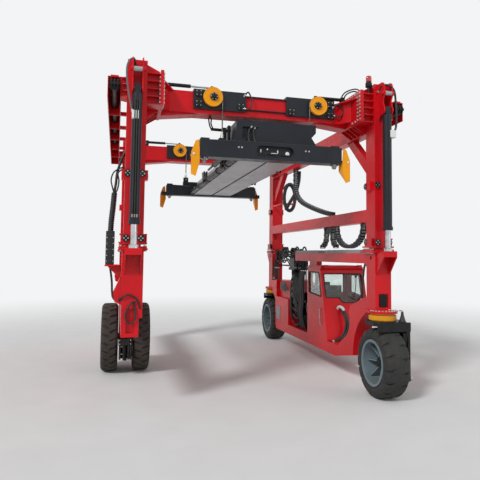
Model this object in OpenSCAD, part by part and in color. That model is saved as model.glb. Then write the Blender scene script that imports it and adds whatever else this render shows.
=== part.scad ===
// Three-wheeled straddle carrier for 20 ft containers. It stands on the ground plane, +Z up.
// X runs across the machine from the twin-wheel side to the cab side, Y along its travel.
// Legs are named near (-Y) and far (+Y), left (-X) and right (+X, the cab side).

/* [Frame] */
// Distance between the leg centre lines, across
track = 4140; // [3900:10:4600]
// Distance between the near and far leg centre lines
leg_pitch = 6150; // [5900:10:6600]
// Height of the bolted joint between foot and mast
joint_z = 2440; // [2350:10:2600]
// Height of the top of the masts
mast_top_z = 5320; // [5280:10:5500]
// Width of a mast, across
mast_w = 296; // [280:2:340]
// Depth of a mast, along travel
mast_d = 330; // [300:5:360]
// Wall of the mast tubes
mast_wall = 20; // [12:1:25]
// Gap between the fixed inner mast and the sliding outer mast
mast_gap = 15; // [6:1:20]
// Upward travel of the upper frame
lift_travel = 1400; // [1000:50:1500]

/* [Beams] */
// Distance of a cross beam's centre inboard of its legs' centre line
cross_in = 640; // [400:10:900]
// Height of a cross beam, which lies on the top side beams
cross_h = 370; // [300:5:400]
// Depth of a cross beam, along travel
cross_d = 355; // [300:5:400]
// Underside of the top side beams
side_z = 4520; // [4450:5:4600]
// Height of the top side beams
side_h = 220; // [180:5:260]
// Width of the top side beams
side_w = 200; // [160:5:240]
// Offset of the outer channel's inner web from the leg centre line
channel_in = 235; // [225:5:260]
// Width of the outer channel
channel_w = 205; // [180:5:230]
// Underside of the outer channel
channel_z = 4735; // [4700:5:4780]
// Height of the outer channel
channel_h = 330; // [280:5:360]
// Number of bays between the channel's ribs
channel_bays = 6; // [5:1:8]
// Underside of the middle beams
mid_z = 2950; // [2900:5:3050]
// Height of the middle beams
mid_h = 220; // [180:5:240]
// Underside of the deck beam over the cab
deck_z = 2225; // [2200:5:2240]
// Height of the deck beam
deck_h = 180; // [150:5:190]

/* [Lift cylinders] */
// Distance of a lift cylinder's centre in front of its mast face
cyl_out = 165; // [140:1:180]
// Outer diameter of the barrel
barrel_d = 150; // [130:2:160]
// Bore of the barrel
barrel_bore = 118; // [110:1:124]
// Diameter of the rod
rod_d = 95; // [80:1:100]
// Lower end of the barrel
barrel_z = 2790; // [2750:10:2850]
// Upper end of the barrel
barrel_top_z = 4750; // [4600:10:4800]

/* [Cab side] */
// Underside of the lower side beam
beam_z = 380; // [340:5:440]
// Height of the lower side beam
beam_h = 220; // [180:5:260]
// Width of the platform that carries the cab and the engine
deck_w = 920; // [860:10:1000]
// Near end of the cab at its floor
cab_y0 = -1120; // [-1200:10:-1050]
// Far end of the cab
cab_y1 = 60; // [20:10:90]
// How far the windscreen leans back at the top
cab_rake = 390; // [250:10:420]
// Height of the cab from its floor to its roof
cab_h = 1480; // [1400:10:1500]
// Thickness of the cab's walls and door
cab_wall = 40; // [25:1:50]
// Play all round the door in its frame
door_play = 8; // [6:1:12]

/* [Wheels] */
// Outer diameter of a cab-side tyre
tyre_d = 1150; // [1100:10:1180]
// Width of a cab-side tyre
tyre_w = 440; // [400:10:460]
// Diameter of a cab-side rim's flange
rim_d = 750; // [700:10:780]
// How far a slewing axis lies outside its leg's centre line, along travel
slew_out = 130; // [100:5:150]
// Outer diameter of the slewing ring
slew_d = 460; // [420:10:480]
// Underside of a cab-side foot
foot_z = 1400; // [1380:5:1440]
// Height of the slewing ring
slew_h = 130; // [110:5:140]
// Outer diameter of a twin tyre
twin_d = 1350; // [1300:10:1400]
// Width of a twin tyre
twin_w = 330; // [300:5:340]
// Distance between the centre planes of the twin tyres
twin_gauge = 610; // [600:5:650]
// Place of the twin axle along travel
twin_y = -100; // [-300:10:300]
// Running gap between moving and fixed pieces
run_gap = 6; // [5:1:10]
// Play of a shaft or rod in its bore, and of a slider on its track
fit_gap = 0.3; // [0.2:0.1:0.5]

/* [Spreader] */
// Length between the twistlock centres
lock_y = 5853; // [5850:1:5856]
// Width between the twistlock centres
lock_x = 2259; // [2256:1:2262]
// Overall width of the end bars
bar_l = 2438; // [2420:2:2450]
// Width of an end bar along travel
bar_w = 250; // [230:5:280]
// Underside of the end bars
bar_z = 3920; // [3860:5:3940]
// Height of an end bar
bar_h = 275; // [250:5:290]
// Depth of a corner guide's pin below the top of its end bar
guide_drop = 245; // [220:5:248]
// Sideways place of the spreader
spreader_x = 150; // [0:5:170]
// Place of the spreader's middle along travel
spreader_y = -60; // [-120:5:0]
// Distance of a carriage's centre from the spreader's middle, across
carriage_x = 820; // [780:5:860]
// Width of a carriage
carriage_w = 910; // [860:10:940]
// Distance of a hoist sheave from the spreader's middle, across
sheave_x = 950; // [920:5:1000]
// Diameter of a hoist sheave
sheave_d = 330; // [280:5:340]
// Diameter of a hoist rope
rope_d = 22; // [18:1:28]

/* [Hidden] */

$fn = 48;
near = -1;
far = 1;
left = -1;
right = 1;
red = [0.72, 0.05, 0.07];
dark_grey = [0.17, 0.19, 0.23];
black = [0.05, 0.05, 0.06];
yellow = [0.95, 0.63, 0.05];
amber = [0.86, 0.52, 0.06];
steel = [0.62, 0.64, 0.66];
rubber = [0.07, 0.07, 0.08];
pale = [0.55, 0.57, 0.58];
glass = [0.75, 0.85, 0.88, 0.35];

leg_x = track / 2;
leg_y = leg_pitch / 2;
cyl_y = leg_y + mast_d / 2 + cyl_out;
inner_w = mast_w - 2 * mast_wall - 2 * mast_gap;
inner_d = mast_d - 2 * mast_wall - 2 * mast_gap;
flange_t = 30;
collar_z = joint_z + flange_t + 30;
cross_z = side_z + side_h;
// front faces of the cross beams
near_cross_y = -leg_y + cross_in - cross_d / 2;
far_cross_y = leg_y - cross_in - cross_d / 2;
// reach of the brackets that the cross beams are bolted to
stub = 230;
cross_half = leg_x - mast_w / 2 - stub;
cross_flare = 150;
beam_in = leg_x - mast_w / 2;
beam_w = 270;
deck_top = beam_z + beam_h;
cab_x0 = beam_in;
cab_x1 = beam_in + deck_w + 80;
slew_y = leg_y + slew_out;
tyre_r = tyre_d / 2;
twin_x = -leg_x - 20;
twin_r = twin_d / 2;
left_beam_w = twin_gauge - twin_w - 2 * 10;
left_beam_z = 1120;
left_beam_h = 480;
fork_top = foot_z - slew_h - fit_gap;
fork_t = 120;
sheave_z = cross_z + cross_h - 90;
carriage_t = 30;
lock_half_x = lock_x / 2;
lock_half_y = lock_y / 2;
bar_top = bar_z + bar_h;
main_half = 500;
guide_z = bar_top - guide_drop;
// top of the spreader's two main beams
spine_top = bar_top + 10;

// Moves the machine so that the origin lies under the middle of its bounding box
handle_out = 42;
left_end = twin_x - (twin_gauge + twin_w) / 2;
right_end = cab_x1 + handle_out;
module placed() translate([-(left_end + right_end) / 2, 0, 0]) children();

// A block from its lowest to its highest coordinates on each axis
module block(x, y, z)
    translate([x[0], y[0], z[0]]) cube([x[1] - x[0], y[1] - y[0], z[1] - z[0]]);

// An outline of [y, z] points given thickness along X
module side_plate(x, t, points)
    translate([x, 0, 0]) rotate([90, 0, 90]) linear_extrude(t) polygon(points);

// An outline of [x, z] points given thickness along Y
module end_plate(y, t, points)
    translate([0, y + t, 0]) rotate([90, 0, 0]) linear_extrude(t) polygon(points);

// A cylinder along X, Y or Z from its start point
module bar_x(p, l, d) translate(p) rotate([0, 90, 0]) cylinder(h = l, d = d);
module bar_y(p, l, d) translate(p) rotate([-90, 0, 0]) cylinder(h = l, d = d);
module bar_z(p, l, d) translate(p) cylinder(h = l, d = d);

// Points of an arc about c, from angle a0 to a1 in n steps
function arc(c, r, a0, a1, n = 10) =
    [for (i = [0:n]) let (a = a0 + (a1 - a0) * i / n) [c[0] + r * cos(a), c[1] + r * sin(a)]];

// The same outline with each corner bent over a length r on both sides
function soft(p, r, n = 3) = [for (i = [0:len(p) - 1]) let (b = p[i], a = p[(i + len(p) - 1) % len(p)],
    c = p[(i + 1) % len(p)], u = (a - b) / norm(a - b), v = (c - b) / norm(c - b))
    for (k = [0:n]) b + u * r * pow(1 - k / n, 2) + v * r * pow(k / n, 2)];

// Points of a curve that leaves a towards b and reaches d from c
function bend(a, b, c, d, n = 12) = [for (i = [0:n]) let (t = i / n, s = 1 - t)
    s * s * s * a + 3 * s * s * t * b + 3 * s * t * t * c + t * t * t * d];

// Outline of a band of thickness t along a line of points
function normal_at(p, i) = let (d = p[min(i + 1, len(p) - 1)] - p[max(i - 1, 0)]) [-d[1], d[0]] / norm(d);
function band(p, t) = concat([for (i = [0:len(p) - 1]) p[i] + normal_at(p, i) * t / 2],
    [for (i = [len(p) - 1:-1:0]) p[i] - normal_at(p, i) * t / 2]);

// Places its children at the near right corner, mirrored to any other corner
module at_corner(across, along)
    mirror([across == left ? 1 : 0, 0, 0]) mirror([0, along == far ? 1 : 0, 0]) children();

// Lower frame

// One end of the side beam in [y, z], as for the near end: a wheel arch that rises to the foot, with a
// gusset above it. The underside starts to rise at the given place.
arch_c = [-slew_y - 95, 550];
arch_r = 890;
function beam_end(rise_y) = concat(
    [[0, beam_z], [rise_y, beam_z]],
    arc(arch_c, arch_r, 0, 66, 12),
    [[-leg_y + mast_d / 2, foot_z], [-leg_y + mast_d / 2, foot_z + 250], [-2240, foot_z + 40]],
    arc([-1880, foot_z - 270], 330, 150, 250, 10),
    [[-1640, deck_top], [0, deck_top]]);

// How far a steered tyre sweeps about its slewing axis
tyre_sweep = norm([tyre_r, tyre_w / 2]);
tank_y1 = slew_y - tyre_sweep - run_gap - 100;
module right_lower_beam() color(red) placed() {
    side_plate(beam_in, beam_w, beam_end(-1530));
    // the far end stands up behind the tank and reaches over the tyre to the foot
    side_plate(beam_in, beam_w, [[-1, beam_z], [tank_y1, beam_z], [tank_y1 + 100, beam_z + 110],
        [tank_y1 + 100, tyre_d + 20], [slew_y - 430, fork_top + 20], [leg_y - mast_d / 2, foot_z],
        [leg_y - mast_d / 2, foot_z + 250], [tank_y1, foot_z + 290], [tank_y1, deck_top], [-1, deck_top]]);
    // platform: outer rail, cross members and floor plate
    block([beam_in + beam_w, cab_x1 - 20], [-1080, 2560], [deck_top - 12, deck_top]);
    block([cab_x1 - 100, cab_x1 - 20], [-1080, 2560], [deck_top - 150, deck_top - 12]);
    for (y = [-1080, -460, 160, 800, 1440, 2020, 2480])
        block([beam_in + beam_w, cab_x1 - 100], [y, y + 80], [deck_top - 130, deck_top - 12]);
    // flange round the near wheel arch
    intersection() {
        side_plate(beam_in - 30, beam_w + 30, concat(arc(arch_c, arch_r, 0, 66, 12), arc(arch_c, arch_r + 22, 66, 0, 12)));
        block([0, 3000], [-leg_y + mast_d / 2, 0], [beam_z, foot_z]);
    }
}

module left_lower_beam() color(red) placed() {
    end = leg_y + mast_d / 2;
    x = twin_x;
    difference() {
        block([x - left_beam_w / 2, x + left_beam_w / 2], [-end, end],
            [left_beam_z, left_beam_z + left_beam_h]);
        block([x - 60, x + 60], [-end - 1, -end + 60], [left_beam_z + 60, left_beam_z + left_beam_h - 60]);
    }
    // cheeks that carry the twin axle under the beam
    difference() {
        side_plate(x - left_beam_w / 2, left_beam_w, concat(
            [[twin_y - 420, left_beam_z], [twin_y - 170, left_beam_z - 420]],
            arc([twin_y, twin_r], 190, 200, 340, 10),
            [[twin_y + 170, left_beam_z - 420], [twin_y + 420, left_beam_z]]));
        bar_x([x - left_beam_w / 2 - 1, twin_y, twin_r], left_beam_w + 2, twin_axle_d);
    }
}

// Foot of a leg: a box with its bolted flange and the open bracket that stands the lift cylinder.
// It is drawn for the near side, centred on its own leg.
module foot_body(bottom, w) {
    front = -mast_d / 2;
    out = front - cyl_out - 85;
    difference() {
        block([-w / 2, w / 2], [front, mast_d / 2], [bottom, joint_z - flange_t]);
        bar_x([-w / 2 - 1, 0, joint_z - 115], w + 2, 64);
    }
    block([-w / 2 - 55, w / 2 + 55], [front - 40, mast_d / 2 + 50], [joint_z - flange_t, joint_z]);
    block([-125, 125], [out, front - 40], [joint_z - flange_t, joint_z]);
    for (x = [-125, 105]) side_plate(x, 20, [[front, joint_z - flange_t], [out, joint_z - flange_t],
        [out, joint_z - 100], [front, joint_z - 400]]);
    block([-105, 105], [out, out + 20], [joint_z - 100, joint_z - flange_t]);
}

module right_foot() {
    w = mast_w;
    difference() {
        foot_body(foot_z + 40, w);
        block([-88, 88], [-mast_d / 2 - 1, -mast_d / 2 + 25], [foot_z + 90, foot_z + 320]);
    }
    hull() {
        block([-w / 2, w / 2], [-mast_d / 2, mast_d / 2], [foot_z + 39, foot_z + 40]);
        translate([0, -slew_out, foot_z]) cylinder(h = 39, d = slew_d + 40, $fn = 32);
        block([-w / 2, w / 2], [-mast_d / 2, mast_d / 2], [foot_z, foot_z + 39]);
    }
}

module left_foot() {
    w = mast_w + 20;
    top = left_beam_z + left_beam_h;
    foot_body(top, w);
    // inner cheek and the outer gusset box beside the beam
    block([-20 + left_beam_w / 2, w / 2], [-mast_d / 2, mast_d / 2], [foot_z, top]);
    end_plate(-mast_d / 2 + 20, mast_d - 40, [[-w / 2, joint_z - 400], [-w / 2 - 115, joint_z - 660],
        [-w / 2 - 90, joint_z - 800], [-w / 2, joint_z - 840]]);
}

module near_right_foot() color(red) placed() translate([leg_x, -leg_y, 0]) right_foot();
module far_right_foot() color(red) placed() translate([leg_x, leg_y, 0]) mirror([0, 1, 0]) right_foot();
module near_left_foot() color(red) placed() translate([-leg_x, -leg_y, 0]) left_foot();
module far_left_foot() color(red) placed() translate([-leg_x, leg_y, 0]) mirror([0, 1, 0]) left_foot();

deck_end = 930;
module deck_beam() placed() {
    y0 = -leg_y + mast_d / 2;
    color(red) {
        block([beam_in, beam_in + 200], [y0, deck_end], [deck_z, deck_z + deck_h]);
        // box that carries it on the far part of the cab roof
        block([beam_in + 40, beam_in + 160], [cab_y1 - 480, cab_y1 - 30], [cab_top + 60, deck_z]);
        side_plate(beam_in + 60, 80, [[y0, deck_z - 150], [y0 + 40, deck_z - 140], [y0 + 190, deck_z], [y0, deck_z]]);
    }
    color(pale) for (y = [[-2640, -966], [-603, deck_end]]) difference() {
        block([beam_in + 10, beam_in + 190], y, [deck_z + deck_h, deck_z + deck_h + 60]);
        block([beam_in + 22, beam_in + 178], [y[0] - 1, y[1] + 1], [deck_z + deck_h + 12, deck_z + deck_h + 61]);
    }
}

module inner_masts() color(red) placed() for (across = [left, right], along = [near, far])
    translate([across * leg_x, along * leg_y, 0]) {
        difference() {
            block([-inner_w / 2, inner_w / 2], [-inner_d / 2, inner_d / 2], [joint_z, barrel_top_z - 50]);
            block([-inner_w / 2 + mast_wall, inner_w / 2 - mast_wall],
                [-inner_d / 2 + mast_wall, inner_d / 2 - mast_wall], [joint_z + flange_t, barrel_top_z]);
        }
        difference() {
            block([-mast_w / 2 - 55, mast_w / 2 + 55], [-mast_d / 2 - 5, mast_d / 2 + 50], [joint_z, joint_z + flange_t]);
            block([-inner_w / 2 + mast_wall, inner_w / 2 - mast_wall],
                [-inner_d / 2 + mast_wall, inner_d / 2 - mast_wall], [joint_z - 1, joint_z + flange_t + 1]);
        }
    }

module lift_rods() color(steel) placed() for (across = [left, right], along = [near, far])
    translate([across * leg_x, along * cyl_y, joint_z]) {
        cylinder(h = 40, d = rod_d + 50);
        cylinder(h = barrel_top_z - 150 - joint_z, d = rod_d);
        translate([0, 0, barrel_top_z - 210 - joint_z]) cylinder(h = 60, d = barrel_bore - 2);
    }

module slewing_rings() color(amber) placed() for (along = [near, far])
    translate([leg_x, along * slew_y, foot_z - slew_h]) difference() {
        union() {
            cylinder(h = slew_h, d = slew_d - 50);
            translate([0, 0, 20]) cylinder(h = slew_h - 50, d = slew_d);
        }
        translate([0, 0, -1]) cylinder(h = slew_h + 2, d = slew_d - 190);
    }

// Cab: outline of its side in [y, z], seen from the straddle bay
cab_top = deck_top + cab_h;
function cab_front(z) = cab_y0 + cab_rake * (z - deck_top) / cab_h;
cab_side = soft([[cab_y1, deck_top], [cab_y1, cab_top], [cab_front(cab_top), cab_top], [cab_y0, deck_top]], 25, 2);
side_window = soft([[cab_y1 - 100, deck_top + 930], [cab_y1 - 100, cab_top - 90],
    [cab_front(cab_top - 90) + 110, cab_top - 90], [cab_front(deck_top + 880) + 110, deck_top + 880]], 45);
// Opening for the door in the outer side
door_hole = [[cab_y1 - 90, deck_top + 70], [cab_y1 - 90, cab_top - 70], [cab_front(cab_top - 70) + 100, cab_top - 70],
    [cab_front(deck_top + 430) + 100, deck_top + 430], [cab_y0 + 260, deck_top + 70]];
screen_w = [cab_x0 + 65, cab_x1 - 60];

module screen_cut() {
    // windscreen opening with its lower notch, cut square to the travel direction
    z0 = deck_top + 870;
    end_plate(cab_y0 - 100, 900, soft([[screen_w[0], z0], [screen_w[0] + 290, z0], [screen_w[0] + 370, z0 - 105],
        [screen_w[1] - 190, z0 - 105], [screen_w[1], z0 + 70], [screen_w[1], cab_top - 115],
        [screen_w[0], cab_top - 115]], 45));
}

// Hinge line of the door, outside the wall
hinge = [cab_x1 + 24, cab_y1 - 94];
hinge_z = [deck_top + 260, deck_top + 1120];
knuckle_h = 90;

module cab_shell() color(red) placed() {
    for (z = hinge_z) {
        for (k = [-40, knuckle_h + run_gap]) translate([hinge[0], hinge[1], z + k]) {
            cylinder(h = 40 - run_gap, d = 30);
            block([-24, 0], [0, 40], [0, 40 - run_gap]);
        }
        bar_z([hinge[0], hinge[1], z - 20], knuckle_h + 40, 12);
    }
    difference() {
        side_plate(cab_x0, cab_x1 - cab_x0, cab_side);
        // open at the top, where the roof lies
        side_plate(cab_x0 + cab_wall, cab_x1 - cab_x0 - 2 * cab_wall, [[cab_y1 - cab_wall, deck_top + cab_wall],
            [cab_y1 - cab_wall, cab_top + 1], [cab_front(cab_top) + cab_wall, cab_top + 1],
            [cab_y0 + cab_wall + 6, deck_top + cab_wall]]);
        side_plate(cab_x0 - 1, cab_wall + 2, side_window);
        side_plate(cab_x1 - cab_wall - 1, cab_wall + 2, door_hole);
        intersection() {
            screen_cut();
            block([cab_x0, cab_x1], [cab_y0 - 10, cab_front(cab_top) + cab_wall + 60], [deck_top, cab_top]);
        }
        // rear window
        block([cab_x0 + 120, cab_x1 - 120], [cab_y1 - cab_wall - 1, cab_y1 + 1], [deck_top + 900, cab_top - 120]);
    }
}

// Roof with its overhang and a raised panel
module cab_roof() color(red) placed() {
    block([cab_x0 - 15, cab_x1 + 15], [cab_front(cab_top) - 60, cab_y1 + 15], [cab_top, cab_top + 25]);
    block([cab_x0 + 20, cab_x1 - 20], [cab_front(cab_top), cab_y1 - 25], [cab_top + 25, cab_top + 60]);
    for (x = [cab_x0 + 60, cab_x1 - 160]) block([x, x + 100], [cab_front(cab_top) - 75, cab_front(cab_top) - 20],
        [cab_top + 25, cab_top + 75]);
}

// Panes sit inside the thickness of the walls
module cab_windows() color(glass) placed() {
    pane = 6;
    mid = cab_wall / 2;
    side_plate(cab_x0 + mid - pane / 2, pane, side_window);
    block([cab_x0 + 120, cab_x1 - 120], [cab_y1 - mid - pane / 2, cab_y1 - mid + pane / 2],
        [deck_top + 900, cab_top - 120]);
    intersection() {
        screen_cut();
        side_plate(cab_x0, cab_x1 - cab_x0, [
            [cab_front(deck_top + 600) + mid - pane / 2, deck_top + 600],
            [cab_front(deck_top + 600) + mid + pane / 2, deck_top + 600],
            [cab_front(cab_top) + mid + pane / 2, cab_top], [cab_front(cab_top) + mid - pane / 2, cab_top]]);
    }
}

module cab_seat() placed() {
    x = (cab_x0 + cab_x1) / 2;
    floor_z = deck_top + cab_wall;
    color(dark_grey) {
        block([x - 180, x + 180], [-460, -130], [floor_z, floor_z + 230]);
        block([x - 240, x + 240], [-540, -90], [floor_z + 230, floor_z + 340]);
        side_plate(x - 230, 460, [[-110, floor_z + 340], [-20, floor_z + 900], [-100, floor_z + 900], [-200, floor_z + 340]]);
        block([cab_x0 + 90, x - 280], [-600, -120], [floor_z, floor_z + 480]);
        block([x - 60, x + 60], [-790, -730], [floor_z, floor_z + 560]);
        translate([x, -740, floor_z + 555]) rotate([25, 0, 0]) cylinder(h = 25, d = 300);
    }
}

// Door leaf in the outer side, hung on its far edge
module door_leaf_outline() offset(delta = -door_play) polygon(door_hole);
door_pane = [[cab_y1 - 190, deck_top + 930], [cab_y1 - 190, cab_top - 160], [cab_front(cab_top - 160) + 200, cab_top - 160],
    [cab_front(deck_top + 880) + 200, deck_top + 880]];

module cab_door() color(red) placed() {
    p = door_play;
    for (z = hinge_z) difference() {
        union() {
            bar_z([hinge[0], hinge[1], z], knuckle_h, 34);
            block([cab_x1 - 1, hinge[0]], [hinge[1] - 60, hinge[1] - 8], [z, z + knuckle_h]);
        }
        bar_z([hinge[0], hinge[1], z - 1], knuckle_h + 2, 12 + 2 * fit_gap);
    }
    difference() {
        side_plate(cab_x1 - cab_wall, cab_wall, [[cab_y1 - 90 - p, deck_top + 70 + p], [cab_y1 - 90 - p, cab_top - 70 - p],
            [cab_front(cab_top - 70) + 100 + p, cab_top - 70 - p], [cab_front(deck_top + 430) + 100 + p, deck_top + 430],
            [cab_y0 + 260 + p, deck_top + 70 + p]]);
        side_plate(cab_x1 - cab_wall - 1, cab_wall + 2, door_pane);
    }
    bar_y([cab_x1 + 30, cab_y0 + 480, deck_top + 760], 160, 24);
    for (y = [cab_y0 + 490, cab_y0 + 610]) bar_x([cab_x1 - 1, y, deck_top + 760], 31, 16);
}

module door_window() color(glass) placed()
    side_plate(cab_x1 - cab_wall / 2 - 3, 6, door_pane);

// Engine in line along travel: sump, block, head, ribbed cover, manifold with its runners, turbocharger,
// flywheel housing, front drive, air cleaner and exhaust stack
cylinders = 6;
cylinder_pitch = 105;
module engine() color(black) placed() {
    x = beam_in + 430;
    y0 = 500;
    l = cylinders * cylinder_pitch;
    z = deck_top;
    end_plate(y0 + 40, l - 60, [[x - 130, z + 60], [x + 130, z + 60], [x + 150, z + 260], [x - 150, z + 260]]);
    end_plate(y0, l, [[x - 170, z + 250], [x + 170, z + 250], [x + 190, z + 420], [x + 130, z + 640],
        [x - 130, z + 640], [x - 190, z + 420]]);
    block([x - 115, x + 115], [y0 + 10, y0 + l - 10], [z + 639, z + 730]);
    block([x - 80, x + 80], [y0 + 25, y0 + l - 25], [z + 729, z + 800]);
    for (k = [0:cylinders - 1]) let (y = y0 + (k + 0.5) * cylinder_pitch) {
        block([x - 98, x + 98], [y - 14, y + 14], [z + 729, z + 770]);
        // inlet runner and exhaust runner
        bar_x([x + 100, y, z + 690], 95, 46);
        bar_x([x - 200, y, z + 660], 100, 50);
        block([x - 205, x - 184], [y - 34, y + 34], [z + 330, z + 480]);
    }
    bar_y([x + 195, y0 + 20, z + 690], l - 40, 90);
    bar_y([x - 205, y0 + 20, z + 650], l - 40, 80);
    // flywheel housing and front drive
    bar_y([x, y0 + l - 1, z + 380], 70, 470);
    bar_y([x, y0 - 40, z + 330], 41, 200);
    bar_y([x + 110, y0 - 40, z + 520], 41, 130);
    bar_y([x - 110, y0 - 40, z + 560], 41, 110);
    bar_y([x - 220, y0 + 60, z + 540], 180, 130);
    bar_z([x - 235, y0 + 420, z + 300], 190, 100);
    // turbocharger and air cleaner
    bar_y([x - 225, y0 + 250, z + 760], 110, 190);
    bar_z([x - 225, y0 + 305, z + 690], 60, 80);
    bar_y([x + 70, y0 + 120, z + 910], 440, 230);
    for (y = [y0 + 200, y0 + 440]) block([x + 40, x + 100], [y, y + 30], [z + 790, z + 820]);
    bar_z([x + 200, y0 + l - 50, z + 700], 620, 90);
    for (y = [y0 + 30, y0 + l - 90]) block([x - 300, x + 300], [y, y + 60], [z, z + 110]);
}

// Radiator with its louvres, shroud and fan
module cooling_pack() color(dark_grey) placed() {
    x = [beam_in + 120, cab_x1 - 120];
    c = beam_in + 430;
    difference() {
        block(x, [150, 330], [deck_top, deck_top + 1060]);
        for (z = [deck_top + 60:70:deck_top + 960]) translate([0, 150, z]) rotate([30, 0, 0])
            block([x[0] + 40, x[1] - 40], [-60, 60], [0, 26]);
    }
    difference() {
        bar_y([c, 329, deck_top + 520], 60, 660);
        bar_y([c, 350, deck_top + 520], 60, 620);
    }
    bar_y([c, 329, deck_top + 520], 90, 120);
    for (a = [0:45:315]) translate([c, 365, deck_top + 520]) rotate([0, a, 0]) rotate([0, 0, 25])
        translate([0, -6, 0]) cube([55, 12, 290]);
}

// Tank that fills the side beam's far end, with a sloped hood behind it
tank_top = 640;
module fuel_tank() color(red) placed() {
    z = deck_top;
    block([beam_in, cab_x1 - 60], [1460, tank_y1], [z, z + tank_top]);
    difference() {
        side_plate(beam_in + 90, deck_w - 90, soft([[1520, z + tank_top - 1], [1520, z + 820], [1720, z + 880],
            [2160, z + 1070], [tank_y1, z + 1090], [tank_y1, z + tank_top - 1]], 30, 2));
        // recess of the hood's vent
        translate([beam_in + 90 + 260, 1930, z + 975]) rotate([atan2(190, 440), 0, 0])
            block([-75, 75], [-190, 190], [-25, 60]);
    }
    bar_z([cab_x1 - 200, 1490 + 110, z + tank_top - 1], 60, 110);
}

// Hoses and pipes from the engine up to the valve bank and along to the far leg
module hose(x, p, d) translate([x, 0, 0]) for (i = [0:len(p) - 2]) let (v = p[i + 1] - p[i])
    translate([0, p[i][0], p[i][1]]) rotate([-atan2(v[0], v[1]), 0, 0]) {
        cylinder(h = norm(v), d = d, $fn = 16);
        sphere(d = d, $fn = 16);
    }
module pipework() color(black) placed() {
    x = beam_in + 215;
    z = deck_top;
    for (k = [0:4]) {
        bar_z([x + 52 * k, 1310, z], deck_z - 239 - z, 36);
        block([x + 52 * k - 24, x + 52 * k + 24], [1286, 1334], [z + 400 + 60 * k, z + 440 + 60 * k]);
    }
    for (k = [0:3]) bar_y([x + 60 * k, 1460, deck_z - 150], leg_y - mast_d / 2 - 1460, 30);
}

// Valve bank beside the deck beam's far end, under arched hoses
module valve_bank() placed() {
    x = [beam_in + 20, beam_in + 420];
    z = deck_z - 239;
    color(dark_grey) {
        block(x, [1080, 1500], [z, z + 60]);
        for (k = [0:3]) block([x[0] + 15 + 98 * k, x[0] + 95 + 98 * k], [1120, 1460], [z + 59, z + 300]);
        for (k = [0:3], y = [1180, 1290, 1400]) bar_z([x[0] + 55 + 98 * k, y, z + 299], 70, 52);
    }
    color(black) for (k = [0:3]) let (h = z + 370 + 60 * (k % 2)) translate([x[0] + 55 + 98 * k, 1290, 0]) {
        for (y = [-145, 145]) bar_z([0, y, z + 299], h - z - 299, 40);
        translate([0, 0, h]) rotate([90, 0, 90]) rotate_extrude(angle = 180, $fn = 32) translate([145, 0])
            circle(d = 40, $fn = 16);
    }
}

module twin_axle() color(black) placed() {
    bar_x([twin_x - twin_gauge / 2 - 80, twin_y, twin_r], twin_gauge + 160, twin_axle_d);
    bar_z([twin_x, twin_y - 60, 250], twin_r - 190 - 250, 210);
    bar_z([twin_x, twin_y + 60, 310], twin_r - 190 - 310, 120);
}

// Upper frame

// Outer mast: a sleeve with its foot collar, cheeks for the cylinder pin and flanges for the beams.
// It is drawn for the near right leg, centred on its own leg.
module outer_mast() {
    w = mast_w;
    d = mast_d;
    top = mast_top_z;
    difference() {
        union() {
            block([-w / 2, w / 2], [-d / 2, d / 2], [collar_z, top]);
            block([-w / 2 - 55, w / 2 + 55], [-d / 2 - 5, d / 2 + 50], [collar_z, collar_z + 25]);
            for (x = [-w / 2 - 45, -w / 2 - 20, w / 2 + 5, w / 2 + 30])
                block([x - 8, x + 8], [-d / 2 + 40, d / 2 - 40], [collar_z + 24, collar_z + 150]);
            block([-w / 2 - 55, w / 2 + 55], [-d / 2 + 36, d / 2 - 36], [collar_z + 140, collar_z + 160]);
        }
        block([-w / 2 + mast_wall, w / 2 - mast_wall], [-d / 2 + mast_wall, d / 2 - mast_wall],
            [collar_z - 1, top - mast_wall]);
        block([-cyl_clear, cyl_clear], [-d / 2 - 60, -d / 2 + 1], [collar_z - 1, collar_z + 30]);
    }
    // cheeks in front of the mast, hooked round the cylinder's pin and rounded at the top
    for (x = [-85, 65]) side_plate(x, 20, concat([[-d / 2, eye_z - 170], [-d / 2 - 80, eye_z - 82]],
        arc([-d / 2 - cyl_out, eye_z - 10], 75, 250, 130, 6), [[-d / 2 - 175, eye_z + 150]],
        arc([-d / 2 - 205, 5120], 48, 250, 110, 4), arc([-d / 2 - 130, top - 95], 95, 170, 90, 5), [[-d / 2, top]]));
    bar_x([-85, -d / 2 - cyl_out, eye_z], 170, 60);
    bar_x([-110, -d / 2 - 205, 5120], 220, 64);
    block([-w / 2, w / 2], [-d / 2, d / 2], [top - 1, top + 10]);
}
cyl_clear = barrel_d / 2 + 10;
eye_z = barrel_top_z + 90;

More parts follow.
